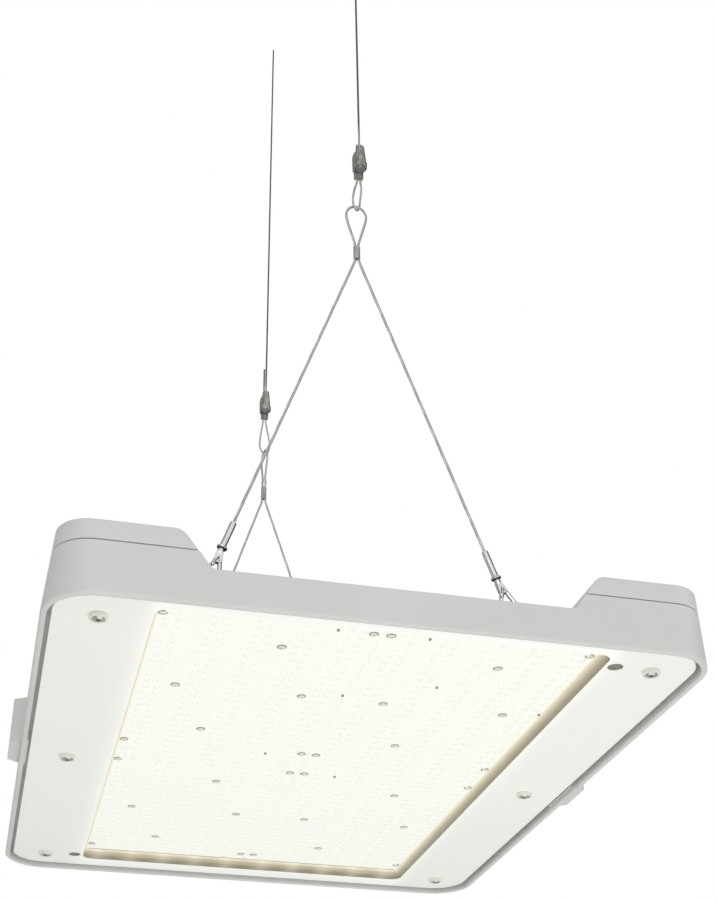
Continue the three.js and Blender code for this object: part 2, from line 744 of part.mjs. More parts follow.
// Snap hook in its own frame: the bow's centre is the origin and +Z runs up the rope.
// A flat cheek under the neck splits into a short stub and a straight leg that runs down to the bow.
const NECK_TOP = 46.5;
const CHEEK_HALF_DEPTH = 2;
function makeHook() {
  const path = [
    [1, 41],
    [2.4, 37.5],
    [4.8, 30],
    [7.6, 20.5],
    [8.1, 16],
    [HOOK_RADIUS, 11],
  ];
  const bowSteps = 12;
  for (let i = 0; i <= bowSteps; i += 1) {
    const angle = -Math.PI * (i / bowSteps);
    path.push([HOOK_RADIUS * Math.cos(angle), HOOK_RADIUS * Math.sin(angle)]);
  }
  path.push([-HOOK_RADIUS, 14.6]);
  const bow = rod(path.map(([x, z]) => new THREE.Vector3(x, 0, z)), HOOK_ROD, 8);
  const stub = rod([new THREE.Vector3(-0.8, 0, 40), new THREE.Vector3(-1.2, 0, 31.2)], 0.8 * HOOK_ROD, 8);
  const cheek = polygon([
    [-2.3, -44.5],
    [-2.6, -35.5],
    [-1.4, -34],
    [2.6, -34],
    [4.7, -36],
    [2.6, -44.5],
  ]);
  const neck = turned(
    [
      [0, 41],
      [2.2, 41],
      [2.5, 44],
      [2.5, NECK_TOP],
      [0, NECK_TOP],
    ],
    10,
  );
  const plate = alongY(cheek, 2 * CHEEK_HALF_DEPTH).rotateX(Math.PI);
  return join(bow, stub, neck, plate);
}

// Wire gate of the hook: two legs beside the cheek that close over the nose.
const GATE_PIVOT = new THREE.Vector3(0.6, 0, 38.3);
function makeGate() {
  const reach = HOOK_ROD + GAP + 0.7;
  const leg = [
    new THREE.Vector3(GATE_PIVOT.x, reach, GATE_PIVOT.z),
    new THREE.Vector3(-3.3, reach, 29.4),
    new THREE.Vector3(-7.2, 1.7, 19),
    new THREE.Vector3(-7.8, 0.8, 17.5),
  ];
  const other = leg.map((point) => new THREE.Vector3(point.x, -point.y, point.z)).reverse();
  return rod([...leg, ...other], 0.65, 6);
}

// Swaged ferrule with a collar at its lower end, gripping the rope's end in a blind bore.
const FERRULE_BASE = NECK_TOP + GAP;
const FERRULE_TOP = 71.8;
const FERRULE_BORE = FERRULE_BASE + 5.1;
function ferruleProfile() {
  return [
    [0, FERRULE_BASE],
    [3.6, FERRULE_BASE],
    [4.2, FERRULE_BASE + 1.1],
    [3.6, FERRULE_BASE + 2.2],
    [2.6, FERRULE_BASE + 2.4],
    [2.6, FERRULE_TOP - 0.4],
    [2.2, FERRULE_TOP],
    [ROPE_RADIUS + GAP, FERRULE_TOP],
    [ROPE_RADIUS + GAP, FERRULE_BORE],
    [0, FERRULE_BORE],
  ];
}

// Flattened crimp sleeve round the two strands of a rope.
function makeCrimp(side) {
  const outline = (halfWidth, halfDepth) => roundedRectangle(2 * halfWidth, 2 * halfDepth, 0.8 * halfDepth);
  const boreHalfDepth = ROPE_RADIUS + SNUG;
  const boreHalfWidth = ROPE_THROAT + boreHalfDepth;
  const bottom = side.crimpZ;
  const top = bottom + side.crimpHeight;
  const bore = slab(outline(boreHalfWidth, boreHalfDepth), bottom - 1, top + 1);
  return cut(toSolid(slab(outline(boreHalfWidth + 0.5, boreHalfDepth + 0.7), bottom, top, 0.3)), bore);
}

// The line of one leg of a bridle: the centre of its hook's bow and the bend under the crimp.
function legLine(side, sign) {
  return {
    hook: new THREE.Vector3(sign * hookX(side, sign), 0, HOOK_Z + HOOK_RADIUS),
    bend: new THREE.Vector3(sign * ROPE_THROAT, 0, side.crimpZ - BEND_DROP),
  };
}

// The bridle rope: from one ferrule up to the crimp, round the eye and down to the other ferrule.
function makeBridleRope(side) {
  const eyeBase = side.crimpZ + side.crimpHeight;
  const eye = ropeEye(ROPE_THROAT, BRIDLE_EYE_HALF_WIDTH, side.eyeTopZ - eyeBase, side.eyeTurn, 0.23);
  eye.forEach((point) => point.add(new THREE.Vector3(0, 0, eyeBase)));
  const [left, right] = [-1, 1].map((sign) => {
    const { hook, bend } = legLine(side, sign);
    const upLeg = new THREE.Vector3().subVectors(bend, hook).normalize();
    return [hook.addScaledVector(upLeg, FERRULE_BORE + GAP), bend];
  });
  return rod([...right, ...eye, ...left.reverse()], ROPE_RADIUS, 6);
}

// The suspension wire: down from the ceiling through the gripper, round the eye and up again to its tail.
function makeSuspensionWire(side) {
  const length = side.gripperZ - (side.eyeTopZ - LINK_DROP);
  const eye = ropeEye(WIRE_THROAT, WIRE_EYE_HALF_WIDTH, length, side.wireTurn, 0.75);
  const stations = eye.map((point) => {
    const drift = 1 - THREE.MathUtils.smoothstep(point.z, 0, length);
    return new THREE.Vector3(side.gripperX * drift + point.x, -point.y, side.gripperZ - point.z);
  });
  const top = new THREE.Vector3(side.gripperX + WIRE_THROAT, 0, WIRE_TOP_Z);
  const tailTop = side.gripperZ + GRIPPER_HEIGHT + side.tail;
  const tail = new THREE.Vector3(side.gripperX - WIRE_THROAT, 0, tailTop);
  return rod([top, ...stations, tail], WIRE_RADIUS, 6);
}

// Wire gripper: a tall tapered barrel with the release plunger, a shorter barrel and a web that guides
// both strands.
const PLUNGER = { x: 0.1, y: -6.3, radius: 4.6, face: 6, top: 12.5 };
function makeGripper() {
  const tallProfile = [
    [0, 6.8],
    [5.5, 6.8],
    [6, 7.4],
    [6, 12.5],
    [5.4, 14.5],
    [3.9, 32],
    [3.3, GRIPPER_HEIGHT],
    [0, GRIPPER_HEIGHT],
  ];
  const shortProfile = [
    [0, 1],
    [3.1, 1],
    [3.3, 21.5],
    [2.7, 25.5],
    [1.2, 28],
    [0, 28],
  ];
  const tall = turned(tallProfile, 16).translate(PLUNGER.x, PLUNGER.y, 0);
  const short = turned(shortProfile, 12).translate(-3.1, -2.6, 0);
  const web = slab(roundedRectangle(8.2, 5.6, 1.6), 0, 31, 0, 2);
  const strands = [-1, 1].map((sign) => cylinder(WIRE_RADIUS + GAP, sign * WIRE_THROAT, 0, -1, 60, 8));
  const stroke = 3;
  const seat = cylinder(PLUNGER.radius + GAP, PLUNGER.x, PLUNGER.y, 0, PLUNGER.top + stroke, 16);
  return cut(join(tall, short, web), ...strands, seat);
}

function makePlunger() {
  const profile = [
    [0, PLUNGER.face],
    [PLUNGER.radius - 0.5, PLUNGER.face],
    [PLUNGER.radius, PLUNGER.face + 0.5],
    [PLUNGER.radius, PLUNGER.top],
    [0, PLUNGER.top],
  ];
  return turned(profile, 16);
}

function addSuspension(side) {
  const suspension = new THREE.Group();
  suspension.position.y = side.y;
  luminaire.add(suspension);
  addPiece(suspension, `${side.name}_bridle_rope`, ROPE, makeBridleRope(side));
  addPiece(suspension, `${side.name}_bridle_crimp`, ZINC, makeCrimp(side));
  for (const [sideName, sign] of [['left', -1], ['right', 1]]) {
    const { hook, bend } = legLine(side, sign);
    const leg = new THREE.Group();
    leg.position.copy(hook);
    leg.rotation.y = Math.atan((bend.x - hook.x) / (bend.z - hook.z));
    suspension.add(leg);
    addPiece(leg, `${side.name}_hook_${sideName}`, STEEL, makeHook());
    addPiece(leg, `${side.name}_hook_gate_${sideName}`, STEEL, makeGate());
    addPiece(leg, `${side.name}_ferrule_${sideName}`, STEEL, turned(ferruleProfile(), 12));
  }
  addPiece(suspension, `${side.name}_suspension_wire`, ROPE, makeSuspensionWire(side));
  const gripper = new THREE.Group();
  gripper.position.set(side.gripperX, 0, side.gripperZ);
  suspension.add(gripper);
  addPiece(gripper, `${side.name}_wire_gripper`, ZINC, makeGripper());
  const plunger = addPiece(gripper, `${side.name}_release_plunger`, STEEL, makePlunger());
  plunger.position.set(PLUNGER.x, PLUNGER.y, 0);
}

addRootPieces();
SUSPENSIONS.forEach(addSuspension);

export default luminaire;
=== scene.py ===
import json
import math

import bmesh
import bpy
from mathutils import Matrix, Vector


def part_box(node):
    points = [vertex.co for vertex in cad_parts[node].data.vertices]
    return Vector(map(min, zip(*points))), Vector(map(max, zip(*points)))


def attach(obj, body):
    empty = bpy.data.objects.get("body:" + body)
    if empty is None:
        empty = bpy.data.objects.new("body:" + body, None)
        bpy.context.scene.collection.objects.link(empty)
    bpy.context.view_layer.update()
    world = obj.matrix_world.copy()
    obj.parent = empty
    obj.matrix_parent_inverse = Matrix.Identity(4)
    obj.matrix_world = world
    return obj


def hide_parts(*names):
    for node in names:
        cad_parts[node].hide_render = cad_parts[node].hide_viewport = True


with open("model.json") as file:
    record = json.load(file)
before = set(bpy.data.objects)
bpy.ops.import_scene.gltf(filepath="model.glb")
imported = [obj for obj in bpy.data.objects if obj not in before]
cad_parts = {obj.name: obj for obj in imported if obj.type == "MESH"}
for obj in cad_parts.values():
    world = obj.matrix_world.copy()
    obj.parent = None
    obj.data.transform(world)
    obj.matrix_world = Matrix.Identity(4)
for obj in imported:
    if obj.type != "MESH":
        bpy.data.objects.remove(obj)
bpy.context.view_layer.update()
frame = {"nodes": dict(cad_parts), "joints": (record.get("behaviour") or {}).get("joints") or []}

# Looks of a suspended LED panel luminaire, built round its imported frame.
# Shapes are worked out in millimetres in the frame's own axes and turned into metres as a mesh is made.

MM = 0.001


def corners(node):
    """Lowest and highest corner of a frame node, in millimetres."""
    low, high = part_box(node)
    return low / MM, high / MM


def middle_of(node):
    """Centre of a frame node, in millimetres."""
    low, high = corners(node)
    return (low + high) / 2


def at(x, y, z=0.0):
    return Matrix.Translation((x, y, z))


def joint_point(name):
    """The origin of a joint's axis, in millimetres."""
    joint = next(joint for joint in frame["joints"] if joint["name"] == name)
    return Vector(joint["pos_m"]) / MM


# ----------------------------------------
# Sizes in millimetres. The frame gives the places, and the rest are the details it leaves out.

housing_high = corners("housing")[1]
lid_low, lid_high = corners("driver_lid_right")
glass_low, glass_high = corners("cover_glass")
board_low, board_high = corners("led_board_far_right")
reflector_low, reflector_high = corners("reflector_frame")

DRAFT = math.tan(math.radians(4.5))
RIM_HALF_X = 235.5
RIM_HALF_Y = housing_high.y
RIM_CORNER = 38.0
CORNER_TAPER = 0.25
RIM_EDGE = 2.2
POCKET_INSET = 4.5
LEDGE_Z = 11.8
SEAM_Z = 41.0
LID_BOTTOM = lid_low.z
LID_TOP = lid_high.z
LID_EDGE = 1.5
LID_BEND = 6.0
END_WALL_Z = 28.2
END_WALL = 8.0
DECK_Z = 22.0
SLOPE_FOOT_X = 127.4
SLOPE_RUN = 10 / 14
CHANNEL_HALF_X = 127.0
COMPARTMENT_X = 144.0
COMPARTMENT_FLOOR = 20.0
COMPARTMENT_WALL = 5.0
BOSS_FACE_X = housing_high.x
BOSS_HALF = 20.0
BOSS_ROOT = 7.0
DUCT_HALF_Y = 17.0
DUCT_TOP = 40.0
GLAND_PAD_Z = housing_high.z

FIN_COUNT = 16
FIN_PITCH = 11.5
FIN_TOP = 38.0

GLASS_CORNER = 31.0
WINDOW_HALF_X = 161.0
WINDOW_HALF_Y = 274.5
WINDOW_SHIFT_Y = -3.5
WINDOW_CORNER = 9.0
OPENING_HALF_X = 165.3
OPENING_HALF_Y = 271.0
OPENING_LEAN = 8.1 / 5.2
BOARD_FACE = board_low.z

LED_COLUMNS = (18, 50, 82, 114, 146)
LED_PAIR = 4.5
LED_ROWS = 23
LED_ROW_PITCH = 11.5
LED_RADIUS = 2.5
LED_HEIGHT = 1.9

GAP = 0.3
HOOK_ROD = 2.1
HOOK_RADIUS = 7.8
CHEEK_HALF_Y = 2.0
NECK_TOP = 46.5
FERRULE_BASE = NECK_TOP + GAP
FERRULE_TOP = 71.8
FERRULE_BORE = FERRULE_BASE + 5.1
GATE_PIVOT = (0.6, 38.3)
LUG_THICK = 2.5
LUG_SCREW_INSET = 11.3
BEND_DROP = 1.2
ROPE_RADIUS = 1.2
ROPE_THROAT = 1.3
ROPE_LAY = 13.0
WIRE_RADIUS = 1.0
WIRE_THROAT = 1.2
WIRE_LAY = 11.0
BRIDLE_EYE_HALF_X = 9.0
WIRE_EYE_HALF_X = 5.8
LINK_DROP = 3.2
PLUNGER_X = 0.1
PLUNGER_Y = -6.3
TAIL = {"near": 9.0, "far": 37.0}
EYE_TURN = {"near": 0, "far": -80}
WIRE_TURN = {"near": -45, "far": 0}

CAMERA_PLACE = Vector((-0.24605, -1.10633, -0.41911))
CAMERA_YAW = math.radians(12.7365)
CAMERA_PITCH = math.radians(31.5738)
CAMERA_ROLL = math.radians(0.1448)
CAMERA_LENS = 56.38
CAMERA_SHIFT = (0.0554, 0.0542)
FLOOR_Z = -1.0


# ----------------------------------------
# Mesh work.

def circle(radius, height=0.0, sides=32, ripple=0.0, lobes=6):
    """A ring of points about the local z axis; ripple makes it wavy with that many lobes."""
    ring = []
    for i in range(sides):
        angle = 2 * math.pi * i / sides
        reach = radius + ripple * math.cos(lobes * angle)
        ring.append((reach * math.cos(angle), reach * math.sin(angle), height))
    return ring


def frames_along(path):
    """Each point of a path with two crossways directions, carried along with no twist."""
    across = None
    for i, point in enumerate(path):
        ahead = (path[min(i + 1, len(path) - 1)] - path[max(i - 1, 0)]).normalized()
        if across is None:
            across = ahead.orthogonal().normalized()
        across = (across - ahead * across.dot(ahead)).normalized()
        yield point, across, ahead.cross(across)


class Shell:
    """Closed surfaces collected ring by ring in millimetres, through a place matrix."""

    def __init__(self, place=None):
        self.place = place or Matrix.Identity(4)
        self.points = []
        self.faces = []
        self.fills = []

    def ring(self, points):
        start = len(self.points)
        self.points.extend(self.place @ Vector(point) for point in points)
        return list(range(start, len(self.points)))

    def bridge(self, one, two):
        if len(one) == 1:
            one, two = two, one
        count = len(one)
        for i in range(count):
            after = (i + 1) % count
            if len(two) == 1:
                self.faces.append((one[i], one[after], two[0]))
            else:
                self.faces.append((one[i], one[after], two[after], two[i]))

    def loft(self, rings, closed=False):
        """Joins rings of equal length. The ends are capped, or joined to each other if closed."""
        made = [self.ring(points) for points in rings]
        for one, two in zip(made, made[1:]):
            self.bridge(one, two)
        if closed:
            self.bridge(made[-1], made[0])
        else:
            for end in (made[0], made[-1]):
                if len(end) > 1:
                    self.faces.append(tuple(end))

    def turn(self, profile, sides=32):
        """A turned shape: (radius, height) pairs from axis to axis, or round a closed section."""
        rings = []
        for radius, height in profile:
            rings.append([(0, 0, height)] if radius == 0 else circle(radius, height, sides))
        self.loft(rings, closed=profile[0][0] > 0)

    def rod(self, path, radius, sides=12, flatness=1.0):
        """A round or oval rod along a path; radius is one number or one for each point."""
        rings = []
        for i, (point, across, other) in enumerate(frames_along(path)):
            size = radius if isinstance(radius, (int, float)) else radius[i]
            ring = []
            for k in range(sides):
                angle = 2 * math.pi * k / sides
                offset = across * math.cos(angle) + other * flatness * math.sin(angle)
                ring.append(point + offset * size)
            rings.append(ring)
        self.loft(rings)

    def rope(self, path, radius, lay):
        """Ten strands laid round a core, turning once in each lay length."""
        count = 10
        strand = radius * 0.18
        orbit = radius - strand
        travelled = 0.0
        lines = [[] for _ in range(count)]
        previous = path[0]
        for point, across, other in frames_along(path):
            travelled += (point - previous).length
            previous = point
            for k, line in enumerate(lines):
                angle = 2 * math.pi * (travelled / lay + k / count)
                line.append(point + (across * math.cos(angle) + other * math.sin(angle)) * orbit)
        for line in lines:
            self.rod(line, strand, 6)
        self.rod(path, radius * 0.88, 8)

    def stack(self, loop, steps):
        """Lofts a loop maker through (inset, height) steps."""
        self.loft([[(x, y, z) for x, y in loop(inset)] for inset, z in steps])

    def plate(self, outline, holes, steps):
        """A slab with holes: each loop maker takes an inset, and steps lists (inset, height)."""
        firsts = []
        lasts = []
        for loop in [outline] + holes:
            made = [self.ring([(x, y, height) for x, y in loop(inset)]) for inset, height in steps]
            for one, two in zip(made, made[1:]):
                self.bridge(one, two)
            firsts.append(made[0])
            lasts.append(made[-1])
        self.fills.extend([firsts, lasts])


def fill_loops(bm, loops):
    """Closes a flat region that is bounded by loops of vertex numbers."""
    edges = []
    for loop in loops:
        for i, start in enumerate(loop):
            pair = (bm.verts[start], bm.verts[loop[(i + 1) % len(loop)]])
            edges.append(bm.edges.get(pair) or bm.edges.new(pair))
    bmesh.ops.triangle_fill(bm, use_beauty=True, use_dissolve=False, edges=edges)


def tidy(bm, weld=2e-6):
    bmesh.ops.remove_doubles(bm, verts=bm.verts, dist=weld)
    bmesh.ops.recalc_face_normals(bm, faces=bm.faces)


def mesh_object(name, shell, turned=1):
    """A mesh object from a shell; turned 2 adds a copy turned half a circle about the z axis."""
    bm = bmesh.new()
    for point in shell.points:
        bm.verts.new(point * MM)
    bm.verts.ensure_lookup_table()
    for face in shell.faces:
        bm.faces.new([bm.verts[i] for i in face])
    for loops in shell.fills:
        fill_loops(bm, loops)
    if turned == 2:
        whole = list(bm.verts) + list(bm.edges) + list(bm.faces)
        copied = bmesh.ops.duplicate(bm, geom=whole)["geom"]
        verts = [item for item in copied if isinstance(item, bmesh.types.BMVert)]
        bmesh.ops.rotate(bm, verts=verts, matrix=Matrix.Rotation(math.pi, 3, "Z"))
    tidy(bm)
    mesh = bpy.data.meshes.new(name)
    bm.to_mesh(mesh)
    bm.free()
    made = bpy.data.objects.new(name, mesh)
    bpy.context.scene.collection.objects.link(made)
    return made


def turned_at(name, places, profile, sides=32, turned=1):
    """One turned shape, repeated at (x, y) places, as a mesh object."""
    shell = Shell()
    for x, y in places:
        shell.place = at(x, y)
        shell.turn(profile, sides)
    return mesh_object(name, shell, turned)


def fuse(base, joined=(), cut=()):
    """Joins closed solids to a base solid, then cuts others out of it. The tools are used up."""
    for tools, operation in ((joined, "UNION"), (cut, "DIFFERENCE")):
        for tool in tools:
            modifier = base.modifiers.new("fuse", "BOOLEAN")
            modifier.operation = operation
            modifier.solver = "MANIFOLD"
            modifier.object = tool
    graph = bpy.context.evaluated_depsgraph_get()
    mesh = bpy.data.meshes.new_from_object(base.evaluated_get(graph))
    base.modifiers.clear()
    base.data = mesh
    for tool in list(joined) + list(cut):
        bpy.data.objects.remove(tool)
    bm = bmesh.new()
    bm.from_mesh(mesh)
    tidy(bm)
    bmesh.ops.dissolve_degenerate(bm, dist=1e-6, edges=bm.edges)
    bm.to_mesh(mesh)
    bm.free()
    return base


def finish_piece(made, material, body, stands_for=(), angle=34):
    """Shades a piece, gives it its material, and puts it on its body in place of frame nodes."""
    mesh = made.data
    mesh.materials.clear()
    mesh.materials.append(material)
    mesh.shade_smooth()
    mesh.set_sharp_from_angle(angle=math.radians(angle))
    weighted = made.modifiers.new("weighted normals", "WEIGHTED_NORMAL")
    weighted.keep_sharp = True
    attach(made, body)
    if stands_for:
        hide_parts(*stands_for)
    return made


def shell_piece(name, shell, material, body, stands_for=(), angle=34, turned=1):
    return finish_piece(mesh_object(name, shell, turned), material, body, stands_for, angle)


# ----------------------------------------
# Outlines.

def rounded_loop(half_x, half_y, radius, steps=8):
    """A maker of rounded rectangle loops, taking an inset."""
    def loop(inset=0.0):
        reach = max(radius - inset, 0.05)
        centre_x = half_x - inset - reach
        centre_y = half_y - inset - reach
        points = []
        for quarter, (sx, sy) in enumerate(((1, -1), (1, 1), (-1, 1), (-1, -1))):
            for i in range(steps + 1):
                angle = math.pi / 2 * (quarter - 1 + i / steps)
                points.append((sx * centre_x + reach * math.cos(angle),
                               sy * centre_y + reach * math.sin(angle)))
        return points
    return loop


def round_hole(x, y, radius, sides=32):
    """A maker of circular hole loops; an inset widens the hole, as it does for an outline."""
    def loop(inset=0.0):
        return [(x + px, y + py) for px, py, _ in circle(radius + inset, 0, sides)]
    return loop


def slope_x(z):
    """Where the sloping side of a driver compartment stands at a height."""
    return SLOPE_FOOT_X + (z - END_WALL_Z) * SLOPE_RUN


def slope_curve(steps=8):
    """(x, z) points from the low stretch of the end wall up to the seam."""
    start = (SLOPE_FOOT_X - 5, END_WALL_Z)
    middle = (SLOPE_FOOT_X, END_WALL_Z)
    end = (slope_x(31), 31.0)
    points = []
    for i in range(steps + 1):
        t = i / steps
        weights = ((1 - t) ** 2, 2 * t * (1 - t), t * t)
        points.append(tuple(sum(weight * point[axis] for weight,
                                point in zip(weights, (start, middle, end))) for axis in (0, 1)))
    points.append((slope_x(SEAM_Z), SEAM_Z))
    return points


def wall_top_stations():
    """(x, z) points of the wall's top edge along an end wall, from left to right."""
    flat = [(0.0, END_WALL_Z), (60.0, END_WALL_Z)]
    right = flat + slope_curve() + [(slope_x(SEAM_Z) + 0.6, SEAM_Z), (170.0, SEAM_Z)]
    left = [(-x, z) for x, z in reversed(right[1:])]
    return left + right


def housing_spots(arc_steps=12):
    """Places round the housing: (kind, data, top height) for end walls and corner arcs."""
    stations = wall_top_stations()
    spots = [("end", (x, -1), z) for x, z in stations]
    quarters = (((1, -1), -90), ((1, 1), 0), ((-1, 1), 90), ((-1, -1), 180))
    for index, (signs, first) in enumerate(quarters):
        for i in range(arc_steps + 1):
            spots.append(("arc", (signs, math.radians(first + 90 * i / arc_steps)), SEAM_Z))
        if index == 1:
            spots.extend(("end", (x, 1), z) for x, z in reversed(stations))
    return spots


def spot_point(kind, data, inset, height):
    """The point of the drafted outside at a spot, moved in by inset."""
    lean = height * DRAFT
    if kind == "end":
        x, sign = data
        return (x, sign * (RIM_HALF_Y - lean - inset), height)
    (sx, sy), angle = data
    taper = height * CORNER_TAPER
    reach = max(RIM_CORNER - taper - inset, 0.5)
    x = sx * (RIM_HALF_X - RIM_CORNER + taper - lean) + reach * math.cos(angle)
    y = sy * (RIM_HALF_Y - RIM_CORNER + taper - lean) + reach * math.sin(angle)
    return (x, y, height)


def round_over(radius, start, end, steps=4):
    """(across, along) offsets of a rounded edge, between two angles in degrees."""
    offsets = []
    for i in range(steps + 1):
        angle = math.radians(start + (end - start) * i / steps)
        offsets.append((radius * math.cos(angle), radius * math.sin(angle)))
    return offsets


# ----------------------------------------
# Housing and lids.

def wall_profile(top):
    """(inset, height) section of the housing wall: ledge, rim, outside, top and down to the deck."""
    lip = 0.9
    edge = 1.2 if top < SEAM_Z else 0.3
    section = [(POCKET_INSET, LEDGE_Z)]
    section += [(POCKET_INSET - lip + x, lip + z) for x, z in round_over(lip, 0, -90, 3)]
    section += [(RIM_EDGE + x, RIM_EDGE + z) for x, z in round_over(RIM_EDGE, 270, 180, 5)]
    section += [(edge + x, top - edge + z) for x, z in round_over(edge, 180, 90, 4)]
    section += [(END_WALL - edge + x, top - edge + z) for x, z in round_over(edge, 90, 0, 4)]
    section += [(END_WALL - 0.3, DECK_Z + 1.2), (END_WALL, DECK_Z + 0.4), (END_WALL + 0.8, DECK_Z)]
    return section


def undrafted(inset, height):
    """Takes the wall's lean back out of an inset, for faces that stand straight."""
    return inset - height * DRAFT


def make_wall():
    """The cup of the housing: glass pocket, rim, outside wall and deck, as one closed shape."""
    shell = Shell()
    spots = housing_spots()
    profiles = [wall_profile(top) for _, _, top in spots]
    rings = []
    for step in range(len(profiles[0])):
        ring = []
        for (kind, data, _), profile in zip(spots, profiles):
            inset, height = profile[step]
            if height <= LEDGE_Z and inset > RIM_EDGE:
                inset = undrafted(inset, height)
            ring.append(spot_point(kind, data, inset, height))
        rings.append(ring)
    shell.loft(rings)
    return mesh_object("casting", shell)


def make_slope_block():
    """The sloping inner side of a driver compartment, from end wall to end wall."""
    section = [(CHANNEL_HALF_X, DECK_Z - 1)]
    section += [(x, z) for x, z in slope_curve() if x > CHANNEL_HALF_X]
    section += [(slope_x(SEAM_Z) + 0.6, SEAM_Z), (COMPARTMENT_X + 4, SEAM_Z),
                (COMPARTMENT_X + 4, DECK_Z - 1)]
    reach = RIM_HALF_Y - 6.5
    shell = Shell()
    shell.loft([[(x, y, z) for x, z in section] for y in (-reach, reach)])
    return mesh_object("slope", shell, turned=2)


def compartment_loop(inset, height, inner_x, corner=1.2, arc_steps=12):
    """A loop round the right-hand compartment at a height; inset moves its outside in."""
    points = []
    for quarter, first in (((1, -1), -90), ((1, 1), 0)):
        for i in range(arc_steps + 1):
            angle = math.radians(first + 90 * i / arc_steps)
            points.append(spot_point("arc", (quarter, angle), inset, height))
    reach = RIM_HALF_Y - height * DRAFT - inset
    for sign, order in ((1, range(4)), (-1, range(3, -1, -1))):
        for i in order:
            angle = math.pi / 2 * i / 3
            points.append((inner_x + corner - corner * math.sin(angle),
                           sign * (reach - corner + corner * math.cos(angle)), height))
    return points


def make_fins():
    """Cooling fins with a tapered section, a rounded top and sloping ends."""
    end = RIM_HALF_Y - END_WALL - 4
    stations = [(-end, DECK_Z + 3), (-end + 22, FIN_TOP - 1), (-end + 25, FIN_TOP)]
    stations += [(-DUCT_HALF_Y, FIN_TOP), (DUCT_HALF_Y, FIN_TOP)]
    stations += [(end - 25, FIN_TOP), (end - 22, FIN_TOP - 1), (end, DECK_Z + 3)]
    foot = 1.7
    tip = 0.95
    shell = Shell()
    for i in range(FIN_COUNT):
        x = (i - (FIN_COUNT - 1) / 2) * FIN_PITCH
        rings = []
        for y, top in stations:
            ring = [(x + foot + 0.6, y, DECK_Z - 1), (x + foot + 0.6, y, DECK_Z + 0.1),
                    (x + foot, y, DECK_Z + 0.8)]
            ring += [(x + a, y, top - tip + b) for a, b in round_over(tip, 0, 180, 4)]
            ring += [(x - foot, y, DECK_Z + 0.8), (x - foot - 0.6, y, DECK_Z + 0.1),
                     (x - foot - 0.6, y, DECK_Z - 1)]
            rings.append(ring)
        shell.loft(rings)
    return mesh_object("fins", shell)


def make_duct():
    """The cable duct across the fins, with a round pad for the cable gland."""
    edge = 3.0
    section = [(-DUCT_HALF_Y - 1, DECK_Z - 1), (DUCT_HALF_Y + 1, DECK_Z - 1)]
    section += [(DUCT_HALF_Y - edge + x, DUCT_TOP - edge + z) for x, z in round_over(edge, 0, 90, 5)]
    section += [(edge - DUCT_HALF_Y + x, DUCT_TOP - edge + z) for x, z in round_over(edge, 90, 180, 5)]
    reach = slope_x(DUCT_TOP)
    duct = Shell()
    duct.loft([[(x, y, z) for y, z in section] for x in (-reach, reach)])
    pad = Shell()
    pad.turn([(0, DECK_Z), (15.8, DECK_Z), (15.6, DUCT_TOP), (15.2, GLAND_PAD_Z - 0.6), (14.6, GLAND_PAD_Z),
              (0, GLAND_PAD_Z)], 48)
    return [mesh_object("duct", duct), mesh_object("pad", pad)]


def make_bosses():
    """Flat mounting pads at mid length on the long sides."""
    edge = 0.8
    bottom = glass_low.z
    root = RIM_HALF_X - 6
    shell = Shell()
    rings = []
    for inset, height in ((edge, bottom), (edge * 0.3, bottom + edge * 0.3), (0, bottom + edge),
                          (0, SEAM_Z - 0.2)):
        face = BOSS_FACE_X - inset
        half = BOSS_HALF - inset
        wide = BOSS_HALF + BOSS_ROOT - inset
        rings.append([
            (root, -wide, height),
            (RIM_HALF_X - 1, -wide + 0.4, height),
            (face - edge, -half - edge * 0.7, height),
            (face, -half + edge * 0.6, height),
            (face, half - edge * 0.6, height),
            (face - edge, half + edge * 0.7, height),
            (RIM_HALF_X - 1, wide - 0.4, height),
            (root, wide, height),
        ])
    shell.loft(rings)
    return mesh_object("bosses", shell, turned=2)


LID_SCREWS = ((163, -281), (163, 281), (220, -150), (220, 150))
LID_SCREW_DEPTH = 2.2


def make_housing():
    """The die-cast housing, fused from its walls, deck, fins, duct and pads."""
    cavity = Shell()
    cavity.loft([compartment_loop(COMPARTMENT_WALL, z,
                                  COMPARTMENT_X) for z in (COMPARTMENT_FLOOR, SEAM_Z + 5)])
    recess = Shell()
    recess.stack(rounded_loop(163.5, 272.5, 4), [(0, 5.0), (0, board_high.z + 0.3)])
    bore = [(0, DECK_Z + 3), (8.3, DECK_Z + 3), (8.3, GLAND_PAD_Z + 5), (0, GLAND_PAD_Z + 5)]
    screw_hole = [(0, 5), (2.8, 5), (2.8, 18.5), (0, 18.5)]
    column = [(0, COMPARTMENT_FLOOR - 1), (5.5, COMPARTMENT_FLOOR - 1), (5.2, SEAM_Z - 0.3),
              (0, SEAM_Z - 0.3)]
    wireway = Shell(Matrix.Rotation(math.pi / 2, 4, "Y"))
    wireway.turn([(0, -149), (5, -149), (5, 149), (0, 149)])
    wireway.points = [point + Vector((0, 0, 31)) for point in wireway.points]
    body = fuse(make_wall(), joined=[make_slope_block(), make_bosses(), *make_duct(), make_fins()],
                cut=[mesh_object("cavity", cavity, turned=2)])
    cuts = [mesh_object("recess", recess), turned_at("bore", [(0, 0)], bore),
            mesh_object("wireway", wireway), turned_at("screw holes", glass_screw_places(), screw_hole)]
    return fuse(body, joined=[turned_at("columns", LID_SCREWS, column, turned=2)], cut=cuts)


def glass_screw_places():
    names = [f"glass_screw_{end}_{side}" for side in ("left", "right") for end in ("near", "middle", "far")]
    return [tuple(middle_of(name)[:2]) for name in names]


